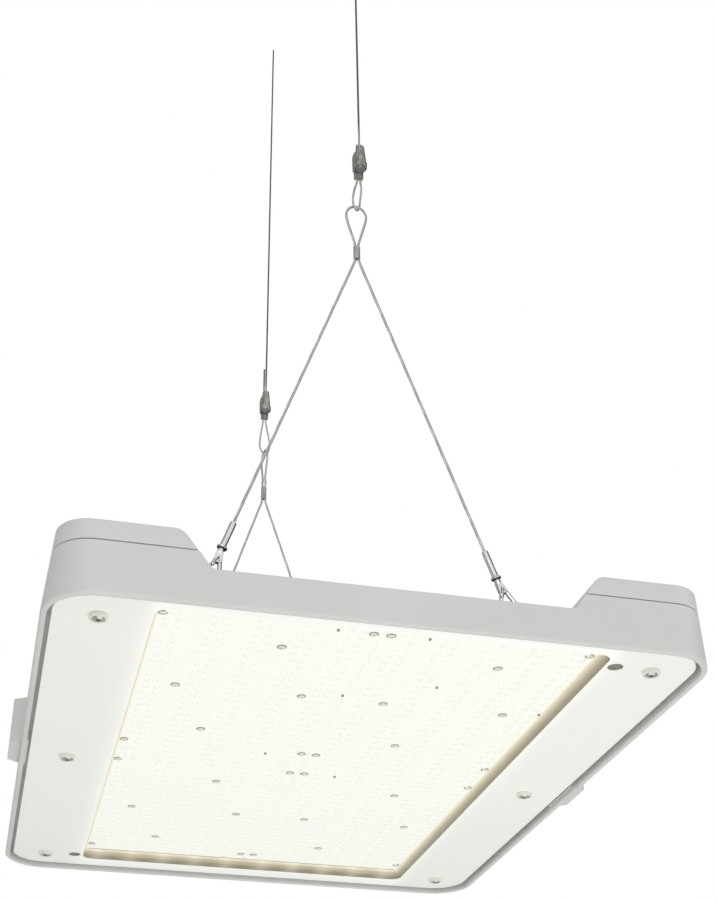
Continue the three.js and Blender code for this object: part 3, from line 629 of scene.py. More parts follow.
def make_lid(side):
    """A driver compartment lid: it carries the wall up, rounds over outside, and slopes down inside."""
    rings = []
    inner_start = slope_x(LID_TOP - LID_BEND)
    inner_middle = slope_x(LID_TOP)
    edge = 0.3
    rings.append(compartment_loop(edge, LID_BOTTOM, slope_x(LID_BOTTOM) + edge))
    rings.append(compartment_loop(0, LID_BOTTOM + edge, slope_x(LID_BOTTOM + edge)))
    for t in (0, 0.15, 0.3, 0.45, 0.6, 0.7, 0.78, 0.85, 0.91, 0.96, 1):
        height = LID_TOP - LID_BEND * (1 - t) ** 2
        inner = (1 - t) ** 2 * inner_start + 2 * t * (1 - t) * inner_middle
        inner += t * t * (inner_middle + LID_BEND)
        above = max(height - (LID_TOP - LID_EDGE), 0)
        inset = LID_EDGE - math.sqrt(max(LID_EDGE ** 2 - above ** 2, 0))
        rings.append(compartment_loop(inset, height, inner))
    shell = Shell()
    shell.loft(rings)
    cavity = Shell()
    inner_x = COMPARTMENT_X + 6
    cavity.loft([compartment_loop(COMPARTMENT_WALL, z, inner_x) for z in (SEAM_Z - 3, LID_TOP - 3.4)])
    seat = LID_TOP - LID_SCREW_DEPTH
    pocket = [(0, seat), (4.6, seat), (4.6, LID_TOP - 0.4), (5.4, LID_TOP + 0.4), (0, LID_TOP + 0.4)]
    tools = [mesh_object("cavity", cavity), turned_at("pockets", LID_SCREWS, pocket)]
    lid = fuse(mesh_object(f"lid_{side}", shell), cut=tools)
    if side == "left":
        lid.data.transform(Matrix.Rotation(math.pi, 4, "Z"))
    return lid


# ----------------------------------------
# Fasteners.

def torx_screw(shell, place, radius, height, sides=36):
    """A button head with a six-lobed recess. Its top faces the local +z, with its underside at zero."""
    shell.place = place
    socket = radius * 0.42
    lobes = radius * 0.075
    rings = [[(0, 0, -0.2)], circle(radius * 0.99, -0.2, sides), circle(radius, 0.1 * height, sides)]
    for angle in (20, 38, 54, 66):
        reach = math.radians(angle)
        wide = radius * math.cos(reach) / math.cos(math.radians(12))
        rings.append(circle(wide, height * math.sin(reach) / 0.95, sides))
    rings.append(circle(socket * 1.08, height, sides, lobes))
    rings.append(circle(socket, height * 0.93, sides, lobes))
    rings.append(circle(socket * 0.96, height * 0.3, sides, lobes))
    rings.append([(0, 0, height * 0.12)])
    shell.loft(rings)


def lid_screws(side):
    shell = Shell()
    turn = Matrix.Rotation(math.pi if side == "left" else 0, 4, "Z")
    for x, y in LID_SCREWS:
        torx_screw(shell, turn @ at(x, y, LID_TOP - LID_SCREW_DEPTH), 3.8, 2.0)
    return shell


# ----------------------------------------
# Glass, light opening and light-emitting diodes.

def make_glass():
    shell = Shell()
    holes = [round_hole(x, y, 5.2) for x, y in glass_screw_places()]
    holes += [round_hole(x, y, 5.6) for x, y in vent_places()]
    outline = rounded_loop(glass_high.x, glass_high.y, GLASS_CORNER, 14)
    edge = 0.6
    bottom = [(edge - x, glass_low.z + edge - z) for x, z in round_over(edge, 0, 90, 3)][::-1]
    top = [(edge - x, glass_high.z - edge + z) for x, z in round_over(edge, 0, 90, 3)]
    shell.plate(outline, holes, bottom + top)
    return shell


def vent_places():
    return [tuple(middle_of(f"vent_plug_{end}")[:2]) for end in ("near", "far")]


def make_print():
    """The white ceramic print on the face of the glass, open at the light window and at the two vents."""
    shell = Shell()
    outline = rounded_loop(glass_high.x - 0.9, glass_high.y - 0.9, GLASS_CORNER - 0.9, 14)
    window = rounded_loop(WINDOW_HALF_X, WINDOW_HALF_Y, WINDOW_CORNER)
    holes = [round_hole(x, y, 5.4) for x, y in glass_screw_places()]
    holes += [round_hole(x, y, 5.7) for x, y in vent_places()]
    steps = [(0, glass_low.z - 0.14), (0, glass_low.z - 0.03)]

    def opening(inset):
        return [(x, y + WINDOW_SHIFT_Y) for x, y in window(-inset)]

    shell.plate(outline, [opening] + holes, steps)
    return shell


def make_reflector():
    """The sheet frame that lines the light opening: leaning long walls, upright end walls and a flange."""
    low = reflector_low.z
    high = reflector_high.z
    steps = 6

    def wall(outward, z):
        lean = (z - low) * OPENING_LEAN
        half_x = OPENING_HALF_X + 1.8 * outward - lean
        loop = rounded_loop(half_x, OPENING_HALF_Y + outward, 4 + outward, steps)
        return [(x, y, z) for x, y in loop(0)]

    def flange(outward, z):
        loop = rounded_loop(OPENING_HALF_X + outward, OPENING_HALF_Y + outward, 8, steps)
        return [(x, y, z) for x, y in loop(0)]

    rings = [wall(0.0, low + (high - low) * i / 6) for i in range(7)]
    rings += [wall(1.2, high), wall(1.2, low + 1.2), flange(13.3, low + 1.2), flange(13.5, low + 1.0),
              flange(13.5, low + 0.2), flange(13.3, low)]
    shell = Shell()
    shell.loft(rings, closed=True)
    return shell


def led_places():
    places = []
    for sign in (-1, 1):
        for column in LED_COLUMNS:
            for offset in (-LED_PAIR, LED_PAIR):
                for row in range(LED_ROWS):
                    for end in (-1, 1):
                        places.append((sign * column + offset, end * LED_ROW_PITCH * (row + 0.5)))
    return places


def make_lenses():
    """A small clear dome over each light-emitting diode."""
    shell = Shell()
    for x, y in led_places():
        shell.place = at(x, y, BOARD_FACE)
        rings = [[(0, 0, 0.1)], circle(LED_RADIUS, 0.1, 12), circle(LED_RADIUS, -0.25, 12)]
        for angle in (30, 58):
            reach = math.radians(angle)
            low = -0.25 - (LED_HEIGHT - 0.25) * math.sin(reach)
            rings.append(circle(LED_RADIUS * math.cos(reach), low, 12))
        rings.append([(0, 0, -LED_HEIGHT)])
        shell.loft(rings)
    return shell


def board_screw_places():
    places = []
    for sx in (-1, 1):
        for sy in (-1, 1):
            for x in (6.25, 153.9):
                for y in (22.6, 254.1):
                    places.append((sx * x, sy * y))
            for x, y in ((16, -81), (-48.3, 0), (48.3, 0), (-16, 81)):
                places.append((sx * 80.5 + x, sy * 138.4 + y))
    return places


DOWNWARD = Matrix.Rotation(math.pi, 4, "X")


def make_board_screws():
    screws = Shell()
    washers = Shell()
    for x, y in board_screw_places():
        torx_screw(screws, at(x, y, BOARD_FACE - 0.35) @ DOWNWARD, 2.6, 0.9, 24)
        # The washers' olive colour also paints the dark ring of shade round each screw head.
        washers.place = at(x, y)
        face = BOARD_FACE - 0.4
        washers.turn([(0, face), (3.35, face), (3.6, face + 0.15), (3.6, BOARD_FACE + 0.05),
                      (0, BOARD_FACE + 0.05)], 24)
    return screws, washers


CONNECTORS = ((-32, -255.4), (34, -255.7), (-2.2, -147.6), (63, -178), (-36, -18), (33, 22), (-22, 262),
              (156, -146))


def make_connectors():
    """Small wire connectors between the diode rows."""
    loop = rounded_loop(0.9, 1.0, 0.3, 2)
    shell = Shell()
    for x, y in CONNECTORS:
        shell.place = at(x, y)
        shell.stack(loop, [(0, BOARD_FACE + 0.05), (0, BOARD_FACE - 1.0), (0.25, BOARD_FACE - 1.3)])
    return shell


# ----------------------------------------
# Suspension.

def resample(points, step):
    """A polyline's points at even spacing."""
    path = [points[0]]
    left = step
    for start, end in zip(points, points[1:]):
        run = (end - start).length
        travelled = left
        while travelled < run:
            path.append(start.lerp(end, travelled / run))
            travelled += step
        left = travelled - run
    path.append(points[-1])
    return path


def smooth_line(points, steps=6):
    """A Catmull-Rom curve through the points."""
    padded = [points[0] * 2 - points[1]] + list(points) + [points[-1] * 2 - points[-2]]
    curve = []
    for a, b, c, d in zip(padded, padded[1:], padded[2:], padded[3:]):
        for i in range(steps):
            t = i / steps
            curve.append((b * 2 + (c - a) * t + (a * 2 - b * 5 + c * 4 - d) * t * t
                          + (b * 3 - a - c * 3 + d) * t ** 3) / 2)
    curve.append(points[-1])
    return curve


def bend(before, corner, after, reach, steps=6):
    """A rounded bend at a corner of a path."""
    start = corner + (before - corner).normalized() * reach
    end = corner + (after - corner).normalized() * reach
    shares = [i / steps for i in range(steps + 1)]
    return [start.lerp(corner, t).lerp(corner.lerp(end, t), t) for t in shares]


def smoothstep(value, low, high):
    share = min(max((value - low) / (high - low), 0), 1)
    return share * share * (3 - 2 * share)


def bezier(a, b, c, d, steps):
    points = []
    for i in range(steps):
        t = i / steps
        s = 1 - t
        weights = (s ** 3, 3 * s * s * t, 3 * s * t * t, t ** 3)
        pairs = list(zip(weights, (a, b, c, d)))
        points.append([sum(weight * point[k] for weight, point in pairs) for k in (0, 1)])
    return points


def rope_eye(throat, half_x, length, turn, turn_top):
    """Points of a teardrop rope eye that leaves its throat at z = 0 and closes in a bow at z = length."""
    widest = 0.755 * length
    bow_z = widest + 0.55 * (length - widest)
    low = (throat + 0.03 * half_x, 0.16 * length)
    half = bezier((throat, 0), low, (0.99 * half_x, 0.58 * length), (half_x, widest), 20)
    half += bezier((half_x, widest), (half_x, bow_z), (0.55 * half_x, length), (0, length), 16)
    flat = half + [(0, length)] + [(-x, z) for x, z in reversed(half)]
    points = []
    for x, z in flat:
        angle = math.radians(turn) * smoothstep(z, 0, turn_top * length)
        points.append(Vector((x * math.cos(angle), x * math.sin(angle), z)))
    return points


class Side:
    """Places of one side of the suspension, read from the frame."""

    def __init__(self, name):
        self.name = name
        self.swing = joint_point(f"{name}_bridle_swing")
        self.y = self.swing.y
        left_low = corners(f"suspension_lug_{name}_left")[0]
        right_high = corners(f"suspension_lug_{name}_right")[1]
        self.hook_x = {-1: left_low.x + LUG_THICK / 2, 1: right_high.x - LUG_THICK / 2}
        self.hook_z = self.swing.z + HOOK_RADIUS
        crimp_low, crimp_high = corners(f"{name}_bridle_crimp")
        self.crimp_low = crimp_low.z
        self.crimp_high = crimp_high.z
        self.eye_top = joint_point(f"{name}_wire_swing").z
        gripper_low, gripper_high = corners(f"{name}_wire_gripper")
        self.gripper_low = gripper_low.z
        self.gripper_high = gripper_high.z
        plunger_low, plunger_high = corners(f"{name}_release_plunger")
        self.gripper_x = (plunger_low.x + plunger_high.x) / 2 - PLUNGER_X
        self.plunger_low = plunger_low
        self.plunger_high = plunger_high
        self.wire_top = corners(f"{name}_suspension_wire")[1].z
        self.bend_z = self.crimp_low - BEND_DROP

    def leg(self, sign):
        """The frame of a hook: its bow's centre is the origin and +z runs up the rope."""
        place = at(self.hook_x[sign], self.y, self.hook_z)
        across = sign * ROPE_THROAT - self.hook_x[sign]
        return place @ Matrix.Rotation(math.atan(across / (self.bend_z - self.hook_z)), 4, "Y")

    def gripper(self):
        return at(self.gripper_x, self.y, self.gripper_low)


def make_bridle_rope(side):
    eye = rope_eye(ROPE_THROAT, BRIDLE_EYE_HALF_X, side.eye_top - side.crimp_high, EYE_TURN[side.name], 0.23)
    eye = [point + Vector((0, 0, side.crimp_high)) for point in eye]
    legs = {}
    for sign, throat in ((1, eye[0]), (-1, eye[-1])):
        hook = Vector((side.hook_x[sign], 0, side.hook_z))
        corner = Vector((sign * ROPE_THROAT, 0, side.bend_z))
        end = hook + (corner - hook).normalized() * (FERRULE_BORE + GAP)
        legs[sign] = [end] + bend(end, corner, throat, 5)
    shell = Shell(at(0, side.y))
    shell.rope(resample(legs[1] + eye + legs[-1][::-1], 1.2), ROPE_RADIUS, ROPE_LAY)
    return shell


def make_wire(side):
    length = side.gripper_low - (side.eye_top - LINK_DROP)
    eye = []
    for point in rope_eye(WIRE_THROAT, WIRE_EYE_HALF_X, length, WIRE_TURN[side.name], 0.75):
        drift = 1 - smoothstep(point.z, 0, length)
        eye.append(Vector((side.gripper_x * drift + point.x, -point.y, side.gripper_low - point.z)))
    top = Vector((side.gripper_x + WIRE_THROAT, 0, side.wire_top))
    tail = Vector((side.gripper_x - WIRE_THROAT, 0, side.gripper_high + TAIL[side.name]))
    shell = Shell(at(0, side.y))
    shell.rope(resample([top] + eye + [tail], 1.0), WIRE_RADIUS, WIRE_LAY)
    return shell


def oval(half_x, half_y, height, sides=32):
    """A ring with straight flanks and round ends."""
    ring = []
    for i in range(sides):
        angle = 2 * math.pi * (i + 0.5) / sides
        shift = (half_x - half_y) * (1 if math.cos(angle) > 0 else -1)
        ring.append((shift + half_y * math.cos(angle), half_y * math.sin(angle), height))
    return ring


def make_crimp(side):
    """An oval sleeve pressed on both strands, with three press marks."""
    height = side.crimp_high - side.crimp_low
    deep = ROPE_RADIUS + 0.85
    wide = ROPE_THROAT + ROPE_RADIUS + 0.5
    rings = [oval(wide - 0.4, deep - 0.4, 0.0), oval(wide - 0.12, deep - 0.12, 0.12), oval(wide, deep, 0.5)]
    for mark in range(3):
        middle = height * (0.22 + 0.28 * mark)
        for offset, dent in ((-1.7, 0.0), (-1.3, 0.2), (1.3, 0.2), (1.7, 0.0)):
            rings.append(oval(wide - dent * 0.4, deep - dent, middle + offset))
    rings += [oval(wide, deep, height - 0.5), oval(wide - 0.12, deep - 0.12, height - 0.12),
              oval(wide - 0.4, deep - 0.4, height)]
    bore = (ROPE_THROAT + ROPE_RADIUS + 0.05, ROPE_RADIUS + 0.05)
    rings += [oval(*bore, height), oval(*bore, 0.0)]
    shell = Shell(at(0, side.y, side.crimp_low))
    shell.loft(rings, closed=True)
    return shell


def make_hook(side, sign):
    """A forged snap hook: bow, straight leg, flat cheek, stub, neck and two rivets."""
    points = [(0.9, 41), (2.0, 38.5), (3.4, 34.5), (4.9, 30), (6.4, 25), (7.7, 20), (8.1, 15.5),
              (HOOK_RADIUS, 10)]
    points += [(HOOK_RADIUS * math.cos(-math.pi * i / 12), HOOK_RADIUS * math.sin(-math.pi * i / 12))
               for i in range(13)]
    points += [(-HOOK_RADIUS, 7.5), (-HOOK_RADIUS, 14.6)]
    path = smooth_line([Vector((x, 0, z)) for x, z in points], 4)
    widths = []
    for i in range(len(path)):
        share = i / (len(path) - 1)
        nose = min(1.0, 0.62 + (1 - share) * 6)
        widths.append(HOOK_ROD * nose * (0.82 + 0.18 * smoothstep(share, 0.1, 0.4)))
    place = side.leg(sign)
    body = Shell(place)
    body.rod(path, widths, 16, 1.0)
    neck = Shell(place)
    neck.turn([(0, 41), (1.9, 41.1), (2.3, 42.4), (2.62, 43.6), (2.5, 44.6), (2.5, NECK_TOP - 0.4),
               (2.2, NECK_TOP), (0, NECK_TOP)])
    stub = Shell(place)
    stub.rod([Vector((x, 0, z)) for x, z in ((-0.8, 40), (-0.9, 37), (-1.1, 34), (-1.2, 32), (-1.25, 31.2))],
             [1.6, 1.68, 1.6, 1.4, 1.1], 16, 1.0)
    cheek = Shell(place)
    outline = [(-2.3, 44.4), (-2.5, 40), (-2.6, 36), (-2.0, 34.5), (-0.8, 34), (2.0, 34), (4.1, 34.6),
               (4.7, 36), (3.9, 39), (2.9, 42.5), (2.5, 44.4)]
    cheek.loft([[(x * (1 - inset / 6), y, 39 + (z - 39) * (1 - inset / 6)) for x, z in outline]
                for inset, y in ((0.5, -CHEEK_HALF_Y), (0, 0.5 - CHEEK_HALF_Y), (0, CHEEK_HALF_Y - 0.5),
                                 (0.5, CHEEK_HALF_Y))])
    joined = [mesh_object("neck", neck), mesh_object("stub", stub), mesh_object("cheek", cheek)]
    for i, (x, z) in enumerate((GATE_PIVOT, (1.9, 36.6))):
        rivet = Shell(place @ at(x, 0, z) @ Matrix.Rotation(math.pi / 2, 4, "X"))
        reach = 3.9 if i == 0 else 2.7
        rivet.turn([(0, -reach), (0.7, 0.1 - reach), (0.95, 0.5 - reach), (0.95, reach - 0.5),
                    (0.7, reach - 0.1), (0, reach)], 16)
        joined.append(mesh_object(f"rivet_{i}", rivet))
    name = f"{side.name}_hook_{'right' if sign > 0 else 'left'}"
    return fuse(mesh_object(name, body), joined=joined)


def make_gate(side, sign):
    """The hook's wire gate: two legs that close over the nose."""
    reach = HOOK_ROD + 1.0
    leg = [(GATE_PIVOT[0], reach, GATE_PIVOT[1]), (-3.3, reach, 29.4), (-5.4, 2.7, 23.9), (-7.2, 1.7, 19),
           (-7.8, 0.8, 17.5)]
    both = [Vector(point) for point in leg] + [Vector((x, -y, z)) for x, y, z in reversed(leg)]
    shell = Shell(side.leg(sign))
    shell.rod(smooth_line(both, 5), 0.62, 12)
    return shell


def make_ferrule(side, sign):
    """A swaged ferrule with a collar at its lower end and a bore that takes the rope."""
    base = FERRULE_BASE
    top = FERRULE_TOP
    bore = ROPE_RADIUS + 0.12
    shell = Shell(side.leg(sign))
    shell.turn([(0, base), (3.3, base), (3.9, base + 0.35), (4.2, base + 1.1), (3.9, base + 1.85),
                (3.3, base + 2.2), (2.75, base + 2.35), (2.6, base + 2.7), (2.6, base + 9),
                (2.52, base + 9.3), (2.52, base + 15.7), (2.6, base + 16), (2.6, top - 1.1),
                (2.45, top - 0.4), (2.0, top), (bore, top), (bore, FERRULE_BORE), (0, FERRULE_BORE)])
    return shell


def make_gripper(side):
    """A cast wire gripper: a tapered barrel for the release plunger, a short barrel and a guide block."""
    height = side.gripper_high - side.gripper_low
    place = side.gripper()
    tall = Shell(place @ at(PLUNGER_X, PLUNGER_Y))
    rings = []
    for radius, z in ((0, 6.8), (5.5, 6.8), (5.85, 6.95), (6.0, 7.4), (6.0, 12.2), (5.75, 12.8),
                      (5.45, 13.4), (5.35, 15.5), (4.05, 30.5), (3.8, 32.2), (3.4, height - 0.3),
                      (2.9, height), (0, height)):
        ripple = 0.15 if 13 <= z <= 31 else 0.0
        rings.append([(0, 0, z)] if radius == 0 else circle(radius - ripple, z, 72, ripple, 12))
    tall.loft(rings)
    short = Shell(place @ at(-3.1, -2.6))
    short.turn([(0, 6), (2.8, 6), (3.1, 6.4), (3.3, 20.5), (3.15, 23), (2.6, 25.6), (1.8, 27.3), (0.9, 27.9),
                (0, 28)], 40)
    block = Shell(place)
    block.stack(rounded_loop(4.1, 2.8, 1.6, 6), [(0.35, 0), (0, 0.35), (0, 30.4), (0.6, 31)])
    strands = Shell(place)
    for sign in (-1, 1):
        strands.place = place @ at(sign * WIRE_THROAT, 0)
        strands.turn([(0, -1), (1.15, -1), (1.15, 60), (0, 60)])
    seat = Shell(place @ at(PLUNGER_X, PLUNGER_Y))
    seat.turn([(0, 0), (5.0, 0), (5.0, 15.5), (0, 15.5)], 40)
    joined = [mesh_object("short", short), mesh_object("block", block)]
    cut = [mesh_object("strands", strands), mesh_object("seat", seat)]
    return fuse(mesh_object(f"{side.name}_wire_gripper", tall), joined, cut)


def make_plunger_ring(side):
    """A dark ring in the seat of the release plunger."""
    shell = Shell(side.gripper() @ at(PLUNGER_X, PLUNGER_Y, 6.6))
    shell.turn([(4.55, 0), (4.7, -0.15), (5.2, -0.15), (5.3, 0), (5.3, 0.6), (4.55, 0.6)], 48)
    return shell


def make_plunger(side):
    """The release plunger, with a dished face."""
    middle = (side.plunger_low + side.plunger_high) / 2
    low = side.plunger_low.z
    high = side.plunger_high.z
    shell = Shell(at(middle.x, middle.y))
    shell.turn([(0, low + 0.5), (1.6, low + 0.45), (3.1, low + 0.3), (3.5, low + 0.05), (3.8, low),
                (4.1, low + 0.12), (4.35, low + 0.5), (4.4, low + 0.9), (4.4, high), (0, high)], 48)
    return shell


def make_lug(end, side):
    """A suspension lug: an angle bracket with a rounded ear that the hook passes through."""
    low, high = corners(f"suspension_lug_{end}_{side}")
    sign = 1 if side == "right" else -1
    middle_y = (low.y + high.y) / 2
    half = (high.y - low.y) / 2
    face_x = high.x if sign > 0 else -low.x
    thick = LUG_THICK
    swing_z = joint_point(f"{end}_bridle_swing").z
    place = at(0, middle_y) @ Matrix.Rotation(0 if sign > 0 else math.pi, 4, "Z")

    def ear(inset):
        points = [(-half + inset, low.z + inset), (half - inset, low.z + inset)]
        points += [(a, high.z - half + b) for a, b in round_over(half - inset, 0, 180, 20)]
        return points

    standing = place @ Matrix(((0, 0, 1, 0), (1, 0, 0, 0), (0, 1, 0, 0), (0, 0, 0, 1)))
    edge = 0.35
    section = [(edge, face_x - thick), (0, face_x - thick + edge), (0, face_x - edge), (edge, face_x)]
    plate = Shell(standing)
    plate.plate(ear, [round_hole(0, swing_z - 1.4, 4, 28)], section)
    foot = Shell(place @ at(face_x - 10.5, 0, low.z))
    loop = rounded_loop(10.5, half, 2, 5)
    hole = round_hole(10.5 - thick / 2 - LUG_SCREW_INSET, 0, 2.6, 24)
    foot.plate(loop, [hole], [(edge, 0), (0, edge), (0, thick - edge), (edge, thick)])
    fillet = Shell(place)
    corner = [(face_x - thick + 0.5, low.z + thick - 0.5), (face_x - thick + 0.5, low.z + thick + 2),
              (face_x - thick - 0.6, low.z + thick + 0.6), (face_x - thick - 2, low.z + thick - 0.5)]
    fillet.loft([[(x, y, z) for x, z in corner] for y in (-half + 1, half - 1)])
    joined = [mesh_object("foot", foot), mesh_object("fillet", fillet)]
    return fuse(mesh_object(f"suspension_lug_{end}_{side}", plate), joined)


# ----------------------------------------
# Cable entry.

def hexagon(across_flats, height, corner=0.0):
    """A ring of 48 points round a hexagon with rounded corners."""
    ring = []
    for i in range(48):
        angle = 2 * math.pi * (i + 0.5) / 48
        local = (angle + math.pi / 6) % (math.pi / 3) - math.pi / 6
        reach = min(across_flats / 2 / math.cos(local), across_flats / 2 * 1.11 - corner)
        ring.append((reach * math.cos(angle), reach * math.sin(angle), height))
    return ring


def make_gland():
    low, high = corners("cable_gland_body")
    bore = 4.6
    seat = GLAND_PAD_Z + 0.3
    body = Shell()
    body.loft([circle(bore, low.z, 48), circle(7.8, low.z, 48), circle(7.8, seat, 48),
               circle(11.4, seat, 48), hexagon(22.6, seat + 0.7), hexagon(22.6, seat + 5.2),
               circle(10.9, seat + 6, 48), circle(8.0, seat + 6, 48), circle(8.0, high.z, 48),
               circle(bore, high.z, 48)], closed=True)
    nut_low, nut_high = corners("cable_gland_nut")
    rings = [circle(8.3, nut_low.z, 48), circle(10.8, nut_low.z, 48), hexagon(22, nut_low.z + 0.8),
             hexagon(22, nut_low.z + 6.4), circle(10.6, nut_low.z + 7.4, 48),
             circle(10.2, nut_low.z + 8.6, 48), circle(8.9, nut_low.z + 11.4, 48),
             circle(7.2, nut_high.z - 0.3, 48), circle(6.6, nut_high.z, 48), circle(4.8, nut_high.z, 48),
             circle(4.8, nut_low.z + 9.4, 48), circle(8.3, nut_low.z + 9.4, 48)]
    nut = Shell()
    nut.loft(rings, closed=True)
    return body, nut


def make_cable():
    """The mains cable: a round sheath with its three cores showing at the cut end."""
    low, high = corners("mains_cable")
    sheath = Shell()
    sheath.turn([(0, low.z), (4.3, low.z), (4.4, low.z + 0.3), (4.4, high.z - 9), (4.25, high.z - 8.6),
                 (3.2, high.z - 8.6), (0, high.z - 9)], 40)
    cores = []
    for i in range(3):
        angle = 2 * math.pi * i / 3
        place = at(1.75 * math.cos(angle), 1.75 * math.sin(angle))
        core = Shell(place)
        core.turn([(0, high.z - 10), (1.35, high.z - 10), (1.35, high.z - 3.2), (1.2, high.z - 3),
                   (0, high.z - 3)], 20)
        copper = Shell(place)
        copper.turn([(0, high.z - 4), (0.8, high.z - 4), (0.8, high.z - 0.2), (0.6, high.z), (0, high.z)],
                    16)
        cores.append((core, copper))
    return sheath, cores


# ----------------------------------------
# Materials.

def rgb(code):
    """A linear colour from a hexadecimal display colour."""
    values = []
    for shift in (16, 8, 0):
        value = (code >> shift & 255) / 255
        values.append(value / 12.92 if value <= 0.04045 else ((value + 0.055) / 1.055) ** 2.4)
    return (*values, 1.0)


class Look:
    """A procedural material round one Principled shader, with object coordinates in metres."""

    def __init__(self, name, color, roughness, metallic=0.0):
        self.material = bpy.data.materials.new(name)
        self.material.use_nodes = True
        self.tree = self.material.node_tree
        self.shader = self.tree.nodes["Principled BSDF"]
        self.place = self.node("TexCoord").outputs["Object"]
        self.shader.inputs["Base Color"].default_value = color
        self.shader.inputs["Roughness"].default_value = roughness
        self.shader.inputs["Metallic"].default_value = metallic
        self.height = None

    def node(self, kind, inputs=None, **settings):
        made = self.tree.nodes.new("ShaderNode" + kind)
        for key, value in settings.items():
            setattr(made, key, value)
        for key, value in (inputs or {}).items():
            self.feed(made.inputs[key], value)
        return made

    def feed(self, socket, value):
        if isinstance(value, bpy.types.NodeSocket):
            self.tree.links.new(value, socket)
        else:
            socket.default_value = value

    def math(self, operation, one, two=0.0, three=0.0):
        return self.node("Math", {0: one, 1: two, 2: three}, operation=operation).outputs[0]

    def axes(self):
        split = self.node("SeparateXYZ", {0: self.place})
        return split.outputs["X"], split.outputs["Y"], split.outputs["Z"]

    def noise(self, size, detail=3.0, stretch=(1, 1, 1)):
        """Noise with features of a size in millimetres."""
        place = self.place
        if stretch != (1, 1, 1):
            place = self.node("Mapping", {"Vector": self.place, "Scale": stretch}).outputs[0]
        inputs = {"Vector": place, "Scale": 1 / (size * MM), "Detail": detail}
        return self.node("TexNoise", inputs).outputs[0]

    def level(self, value, low, high, from_low=0.3, from_high=0.7):
        """Maps a noise's middle range to low .. high."""
        mapped = self.node("MapRange", {"Value": value, "From Min": from_low, "From Max": from_high,
                                        "To Min": low, "To Max": high})
        return mapped.outputs[0]

    def mottle(self, low, high, size, detail=3.0, stretch=(1, 1, 1)):
        """Noise with features of a size in millimetres, mapped to low .. high."""
        return self.level(self.noise(size, detail, stretch), low, high)

    def shaded(self, color, shade):
        """A colour made darker or lighter by a factor."""
        grey = self.node("CombineColor", {0: shade, 1: shade, 2: shade}).outputs[0]
        return self.mix(1.0, color, grey, "MULTIPLY")

    def mix(self, share, one, two, blend="MIX"):
        made = self.node("Mix", {0: share}, data_type="RGBA", blend_type=blend)
        self.feed(made.inputs[6], one)
        self.feed(made.inputs[7], two)
        return made.outputs[2]

    def bump(self, value, depth, strength=1.0):
        """Adds a bump of a depth in millimetres."""
        inputs = {"Height": value, "Distance": depth * MM, "Strength": strength}
        if self.height is not None:
            inputs["Normal"] = self.height
        self.height = self.node("Bump", inputs).outputs[0]
        self.feed(self.shader.inputs["Normal"], self.height)

    def set(self, **values):
        for key, value in values.items():
            self.feed(self.shader.inputs[key.replace("_", " ")], value)
        return self


def mottle_and_lighten_edges(look, color, edge_color, cloud=(70, 0.04), speck=(1.2, 0.03)):
    """Base colour with soft clouds, fine specks and lighter edges where pointiness is high, broken up by
    noise.
    """
    clouds = look.mottle(1 - cloud[1], 1 + cloud[1], cloud[0], 2)
    specks = look.mottle(1 - speck[1], 1 + speck[1], speck[0], 2)
    shade = look.math("MULTIPLY", clouds, specks)
    tinted = look.shaded(color, shade)
    edge = look.level(look.node("NewGeometry").outputs["Pointiness"], 0, 1, 0.52, 0.62)
    edge_mask = look.math("MULTIPLY", edge, look.mottle(0.2, 1, 6, 4))
    look.set(Base_Color=look.mix(edge_mask, tinted, edge_color))


def paint_look():
    look = Look("painted_casting", rgb(0xd6d8d5), 0.42, 0.0)
    mottle_and_lighten_edges(look, rgb(0xd9dbd8), rgb(0xe4e5e2), (90, 0.02), (0.9, 0.015))
    look.set(Roughness=look.mottle(0.40, 0.52, 0.7, 2), Specular_IOR_Level=0.5)
    look.bump(look.noise(0.9, 2), 0.015)
    look.bump(look.noise(14, 2), 0.06)
    return look.material


def glass_look():
    """Thin clear glass: see-through with a soft reflection."""
    look = Look("clear_glass", rgb(0xf8fbf9), 0.04)
    smear = look.mottle(0.03, 0.10, 60, 4)
    entering = look.math("SUBTRACT", 1.0, look.node("NewGeometry").outputs["Backfacing"])
    fresnel = look.math("MULTIPLY", look.node("Fresnel", {"IOR": 1.45}).outputs[0], entering)
    clear = look.node("BsdfTransparent", {"Color": rgb(0xfefffe)}).outputs[0]
    shine = look.node("BsdfGlossy", {"Color": (1, 1, 1, 1), "Roughness": smear}).outputs[0]
    mixed = look.node("MixShader", {0: look.math("MULTIPLY", fresnel, 0.6), 1: clear, 2: shine}).outputs[0]
    output = look.tree.nodes["Material Output"]
    look.feed(output.inputs["Surface"], mixed)
    return look.material


